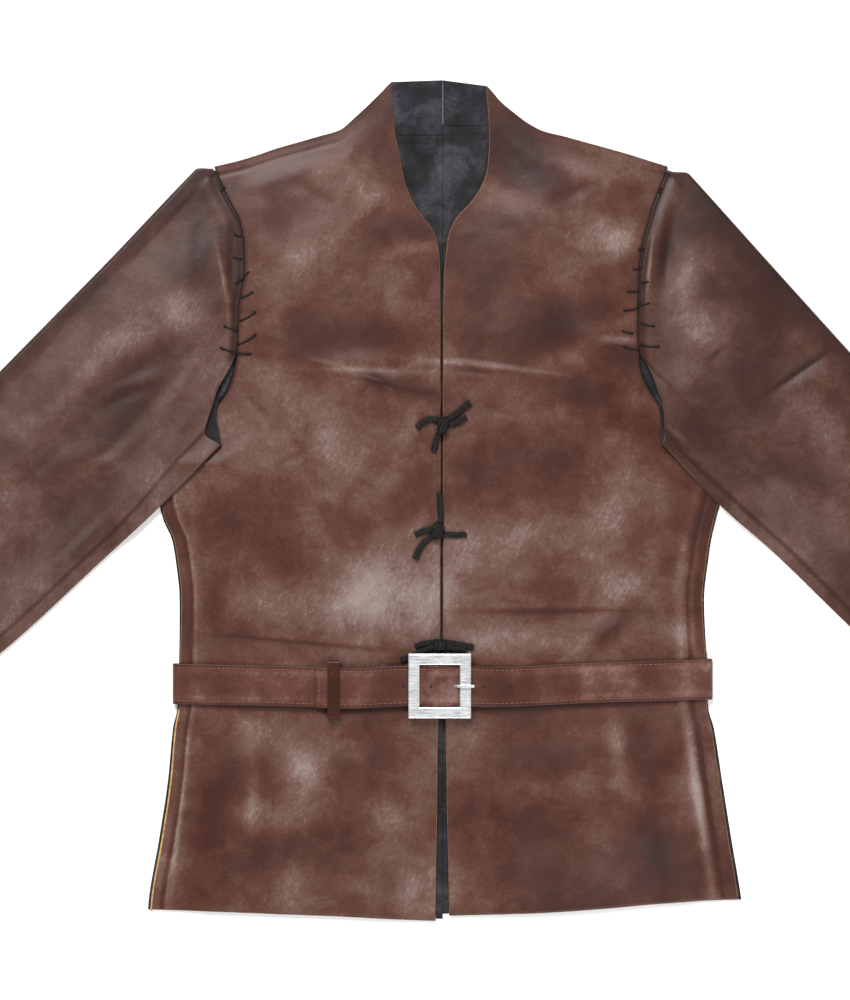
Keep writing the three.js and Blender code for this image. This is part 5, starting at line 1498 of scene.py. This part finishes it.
# Tone of the strap: long and short rubbing as size, seed and strength, its dark rim and bright line.
RUBBED = ((46, 33, 0.07), (14, 34, 0.05))
STRAP_RIM = {"dark": 0.09, "from": (4.5, 1.0), "bright": 0.05, "bright_in": 7, "bright_wide": 3}


def arc(x, z, radius, start, end, steps):
    """Points round a centre from one angle to another."""
    a = np.radians(np.linspace(start, end, steps + 1))
    return np.stack([x + radius * np.cos(a), z + radius * np.sin(a)], axis=1)


def strap_section():
    """Outline of the strap across its path: flat faces, rounded corners, and a shallow groove under
    each stitch line."""
    half, corner, thick = BELT["width"] / 2, STRAP_CORNER["radius"], BELT["thick"] / 2
    across = np.linspace(-half + corner, half - corner, STRAP_COLUMNS)
    top = np.stack([across, np.full(STRAP_COLUMNS, thick)], axis=1)
    a = np.radians(np.linspace(90, -90, STRAP_CORNER["steps"])[1:-1])
    right = np.stack([half - corner + corner * np.cos(a), thick * np.sin(a)], axis=1)
    section = np.concatenate([top, right, top[::-1] * (1, -1), right[::-1] * (-1, 1)])
    line = np.abs(section[:, 0]) - (half - STITCH_GROOVE["in"])
    section[:, 1] -= np.sign(section[:, 1]) * bell(line, STITCH_GROOVE["wide"]) * STITCH_GROOVE["deep"]
    return section


def belt_path():
    """Middle of the strap in the x-z plane: from its tip, through the buckle, round the body and
    back to the eye round the buckle's middle bar."""
    radius = (STRAP_REST - FLOOR_RUN) / 2
    level = (STRAP_REST + FLOOR_RUN) / 2
    upper = np.stack([UPPER_STRAP["x"], STRAP_REST + STRAP_STEP + UPPER_STRAP["rise"]], axis=1)
    lower = np.stack([LOWER_STRAP["x"], STRAP_REST + LOWER_STRAP["rise"]], axis=1)
    back = [(x, FLOOR_RUN) for x in BACK_RUN]
    return np.concatenate([
        upper,
        arc(BELT_TURN["left"], level, radius, 90, -90, BELT_TURN["steps"]),
        back,
        arc(BELT_TURN["right"], level, radius, 270, 90, BELT_TURN["steps"]),
        lower,
        arc(BAR["x"], BAR_HEIGHT, EYE_RADIUS, EYE["from"], EYE["to"], EYE["steps"]),
        [(BAR["x"] - back_off, STRAP_REST) for back_off in EYE["tail"]],
    ])


def belt():
    """The strap: its section carried along the belt's path, a little wavering in its width. Returns
    the path of its middle."""
    plan = through(belt_path(), STRAP_STATIONS)
    plan[:, 1] = np.maximum(plan[:, 1], FLOOR_RUN)
    tangent = directions(plan)
    section = strap_section()
    out, up = section[None, :, 0], section[None, :, 1]
    length = steps_along(plan)
    waver = STRAP_WAVER["high"] * ripple(length, 0 * length, STRAP_WAVER["size"], STRAP_WAVER["seed"])
    x, z = plan[:, 0], plan[:, 1]
    y = belt_line(x)[:, None] + out + waver[:, None] * np.sign(out)
    grid = np.stack([x[:, None] - tangent[:, 1:] * up, y, z[:, None] + tangent[:, :1] * up], axis=-1)
    around = len(section)
    half = BELT["width"] / 2
    on_edge = np.tile((np.abs(section[:, 0]) > half - STRAP_CORNER["edge"]).astype(int), len(x) - 1)
    kinds = np.concatenate([on_edge, [1, 1]])
    uv = np.stack([np.repeat(length, around), np.tile(section[:, 0], len(x))], axis=1) * MM
    made = mesh_object(
        "belt_strap", grid, tube_faces(len(x), around), [belt_leather, strap_edge], kinds, uv
    )
    tone = sum(high * ripple(length, 0 * length, size, seed)[:, None] for size, seed, high in RUBBED)
    to_rim = half - np.abs(out)
    tone = tone - STRAP_RIM["dark"] * smooth(*STRAP_RIM["from"], to_rim)
    tone = tone + STRAP_RIM["bright"] * bell(to_rim - STRAP_RIM["bright_in"], STRAP_RIM["bright_wide"])
    set_attribute(made, "tone", tone)
    finish_piece(made, "belt_leather", "belt")
    return plan


belt_middle = belt()

for node, material in (
    ("belt_keeper", keeper_leather), ("buckle_frame", nickel), ("buckle_prong", nickel),
):
    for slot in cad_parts[node].material_slots:
        slot.material = material

# ---------------------------------------------------------------- sewing

# Hand lacing of the armholes: both ends of each stitch.
LACING = [
    (-210.5, 303, -214, 299), (-201, 257, -194.5, 255), (-202, 235, -194, 233), (-200, 209, -187, 221),
    (-195, 195.5, -183, 201), (-196, 173, -180, 182), (-211, 168, -198, 164), (-198, 150, -180, 160),
    (-215, 147, -184, 141), (211.5, 297, 213, 302), (191, 242, 196, 243), (186, 223, 192.5, 224),
    (194.5, 210, 200, 211), (180, 201.5, 191, 202), (192, 189, 201, 190), (176, 183, 191, 186),
    (193, 171, 206, 168), (175, 163, 185.5, 161), (193, 150, 211, 148), (176, 148, 192, 145),
]
LACE = {"radius": 0.8, "high": 0.7, "around": 8, "stations": 15, "above": 0.55, "sunk": 1.2, "bow": 0.06}
LACE_KNOT = {"swell": 0.55, "at": 0.07, "long": 0.06}


def lacing():
    """Each stitch is a round thread that rises out of its hole, lies on the leather and dips into
    the next, with a small knot-like swelling at both ends."""
    grids = [*fronts.values(), *(layers[0] for layers in sleeves.values())]
    cloud = np.concatenate([grid.reshape(-1, 3) for grid in grids])
    count, around = LACE["stations"], LACE["around"]
    k = np.linspace(0, 1, count)
    points, faces = [], []
    for number, (x0, y0, x1, y1) in enumerate(LACING):
        length = np.hypot(x1 - x0, y1 - y0)
        bow = LACE["bow"] * length * np.sin(pi * k)
        x = mix(x0, x1, k) + bow * (y1 - y0) / length
        y = mix(y0, y1, k) - bow * (x1 - x0) / length
        z = nearest(cloud, x, y) + LACE["above"]
        z = np.maximum(z, mix(z[0], z[-1], k))
        z[[0, -1]] -= LACE["sunk"]
        at, long = LACE_KNOT["at"], LACE_KNOT["long"]
        swell = 1 + LACE_KNOT["swell"] * (bell(k - at, long) + bell(k - 1 + at, long))
        section = oval(LACE["radius"], LACE["high"], around)[None] * swell[:, None, None]
        points.append(sweep(np.stack([x, y, z], axis=1), section).reshape(-1, 3))
        faces += tube_faces(count, around, number * count * around)
    made = mesh_object("armhole_lacing", np.concatenate(points), faces, [lacing_thread])
    finish_piece(made, "thong_leather")


lacing()

STITCH = {"radius": 0.42, "around": 6, "stations": 5, "arch": 1.5, "sunk": 0.8}
EDGE_STITCH = {"pitch": 4.8, "long": 3.4}
TIP_STITCH = {"pitch": 4.2, "long": 3.2, "insets": (4.0, 12.0), "half_row": 15, "points": 12}
UNDER_FACE = 0.1  # how far the stitches' own line lies under the strap's face
CLEAR_OF_FLOOR = 1.5
STATIONS_FROM_TIP = 4


def stitch_run(name, path, pitch, length):
    """A row of machine stitches: short round threads set a pitch apart along a path of points and
    their upward directions, their ends sunk in the leather."""
    count, around, radius = STITCH["stations"], STITCH["around"], STITCH["radius"]
    steps = steps_along(path[:, :3])
    starts = np.arange(pitch / 2, steps[-1] - length, pitch)
    k = np.linspace(0, 1, count)
    at = starts[:, None] + k[None] * length
    middle = np.stack([np.interp(at, steps, path[:, i]) for i in range(6)], axis=-1)
    line, up = middle[..., :3], middle[..., 3:]
    centre = line + up * (radius * (STITCH["arch"] * np.sin(pi * k) - STITCH["sunk"]))[None, :, None]
    side = np.cross(directions(line, axis=1), up)
    a = round_the_clock(around)[:, None]
    points = centre[:, :, None] + radius * (np.cos(a) * side[:, :, None] + np.sin(a) * up[:, :, None])
    first = (np.arange(len(starts)) * count * around)[:, None, None]
    faces = [(part[None] + first).reshape(-1, part.shape[1]) for part in tube_faces(count, around)]
    finish_piece(mesh_object(name, points, faces, [sewing_thread]), "belt_leather")


def belt_stitches():
    """Rows along both edges of the strap's outside where it is off the floor, and across its tip."""
    tangent = directions(belt_middle)
    out = np.stack([-tangent[:, 1], 0 * tangent[:, 0], tangent[:, 0]], axis=1)
    x = belt_middle[:, 0]
    face = BELT["thick"] / 2 - UNDER_FACE
    floor_run = np.flatnonzero(belt_middle[:, 1] < FLOOR_RUN + CLEAR_OF_FLOOR)
    for edge, word in ((-1, "lower"), (1, "upper")):
        y = belt_line(x) + edge * (BELT["width"] / 2 - STITCH_GROOVE["in"])
        path = np.stack([x, y, belt_middle[:, 1]], axis=1) + out * face
        rows = np.concatenate([path, out], axis=1)
        outer_run, inner_run = rows[STATIONS_FROM_TIP : floor_run[0]], rows[floor_run[-1] :]
        for layer, run in (("outer", outer_run), ("inner", inner_run)):
            stitch_run(f"belt_stitches_{word}_{layer}", run, EDGE_STITCH["pitch"], EDGE_STITCH["long"])
    for number, inset in enumerate(TIP_STITCH["insets"]):
        tip = UPPER_STRAP["x"][0] + inset
        y = np.linspace(-TIP_STITCH["half_row"], TIP_STITCH["half_row"], TIP_STITCH["points"])
        y = y + float(belt_line(tip))
        z = np.interp(tip, UPPER_STRAP["x"], UPPER_STRAP["rise"]) + STRAP_REST + STRAP_STEP + face
        rows = np.stack([0 * y + tip, y, 0 * y + z, 0 * y, 0 * y, 0 * y + 1], axis=1)
        stitch_run(f"belt_tip_stitches_{number}", rows, TIP_STITCH["pitch"], TIP_STITCH["long"])


belt_stitches()

BELT_HOLES = {"x": (-37.0, -9.5, 15.0, 40.0, 67.4), "around": 18}
HOLE_RINGS = ((2.1, -0.3), (2.1, 0.06), (1.0, 0.08))  # radius and height over the strap's face


def belt_holes():
    """Punched holes of the strap, each shown by a dark round disc of painted shade a hair above its
    face, slightly domed downwards at its rim."""
    points, faces = [], []
    around = BELT_HOLES["around"]
    a = round_the_clock(around)
    top = belt_middle[: len(belt_middle) // 3]
    for number, x in enumerate(BELT_HOLES["x"]):
        face = np.interp(x, top[:, 0], top[:, 1]) + BELT["thick"] / 2
        for radius, rise in HOLE_RINGS:
            ring = [x + radius * np.cos(a), belt_line(x) + radius * np.sin(a), 0 * a + face + rise]
            points.append(np.stack(ring, axis=1))
        faces += tube_faces(len(HOLE_RINGS), around, number * len(HOLE_RINGS) * around)
    made = mesh_object("belt_holes", np.concatenate(points), faces, [hole_shadow])
    finish_piece(made, "belt_leather")


belt_holes()

# ---------------------------------------------------------------- floor, light and the end

FLOOR = {"half": 4000.0, "level": -0.05, "cloud_mm": 400}
# Soft square lights: place and side in metres, and power in watts.
LIGHTS = {"window_light": ((-1.1, 3.0, 3.6), 2.0, 290), "fill_light": ((1.2, -2.6, 2.6), 2.4, 110)}
SURROUNDINGS = 0.45


def floor_and_light():
    """A wide pale floor, a large soft light from the collar side, and a fill from the other side, both
    turned to the middle of the floor."""
    material, tree, shader, place = new_material("pale_floor_paint")
    faint = noise(tree, place, FLOOR["cloud_mm"], 3.0, 0.5)
    dress(tree, shader, ramp(tree, faint, [(0.0, "#f7f7f7"), (1.0, "#fbfbfb")]), 0.9)
    half, level = FLOOR["half"], FLOOR["level"]
    corners = [(-half, -half, level), (half, -half, level), (half, half, level), (-half, half, level)]
    mesh_object("floor", corners, [np.array([[0, 1, 2, 3]])], [material], flat=True)
    for name, (stand, side, power) in LIGHTS.items():
        data = bpy.data.lights.new(name, "AREA")
        data.shape = "SQUARE"
        data.size = side
        data.energy = power
        lamp = bpy.data.objects.new(name, data)
        lamp.location = stand
        lean = float(np.arctan2(np.hypot(stand[0], stand[1]), stand[2]))
        lamp.rotation_euler = (lean, 0.0, float(np.arctan2(stand[1], stand[0]) + pi / 2))
        bpy.context.scene.collection.objects.link(lamp)
    world = bpy.data.worlds.new("studio")
    world.use_nodes = True
    background = world.node_tree.nodes["Background"].inputs
    background["Color"].default_value = linear("#ffffff")
    background["Strength"].default_value = SURROUNDINGS
    bpy.context.scene.world = world
    bpy.context.scene.view_settings.view_transform = "Standard"


floor_and_light()
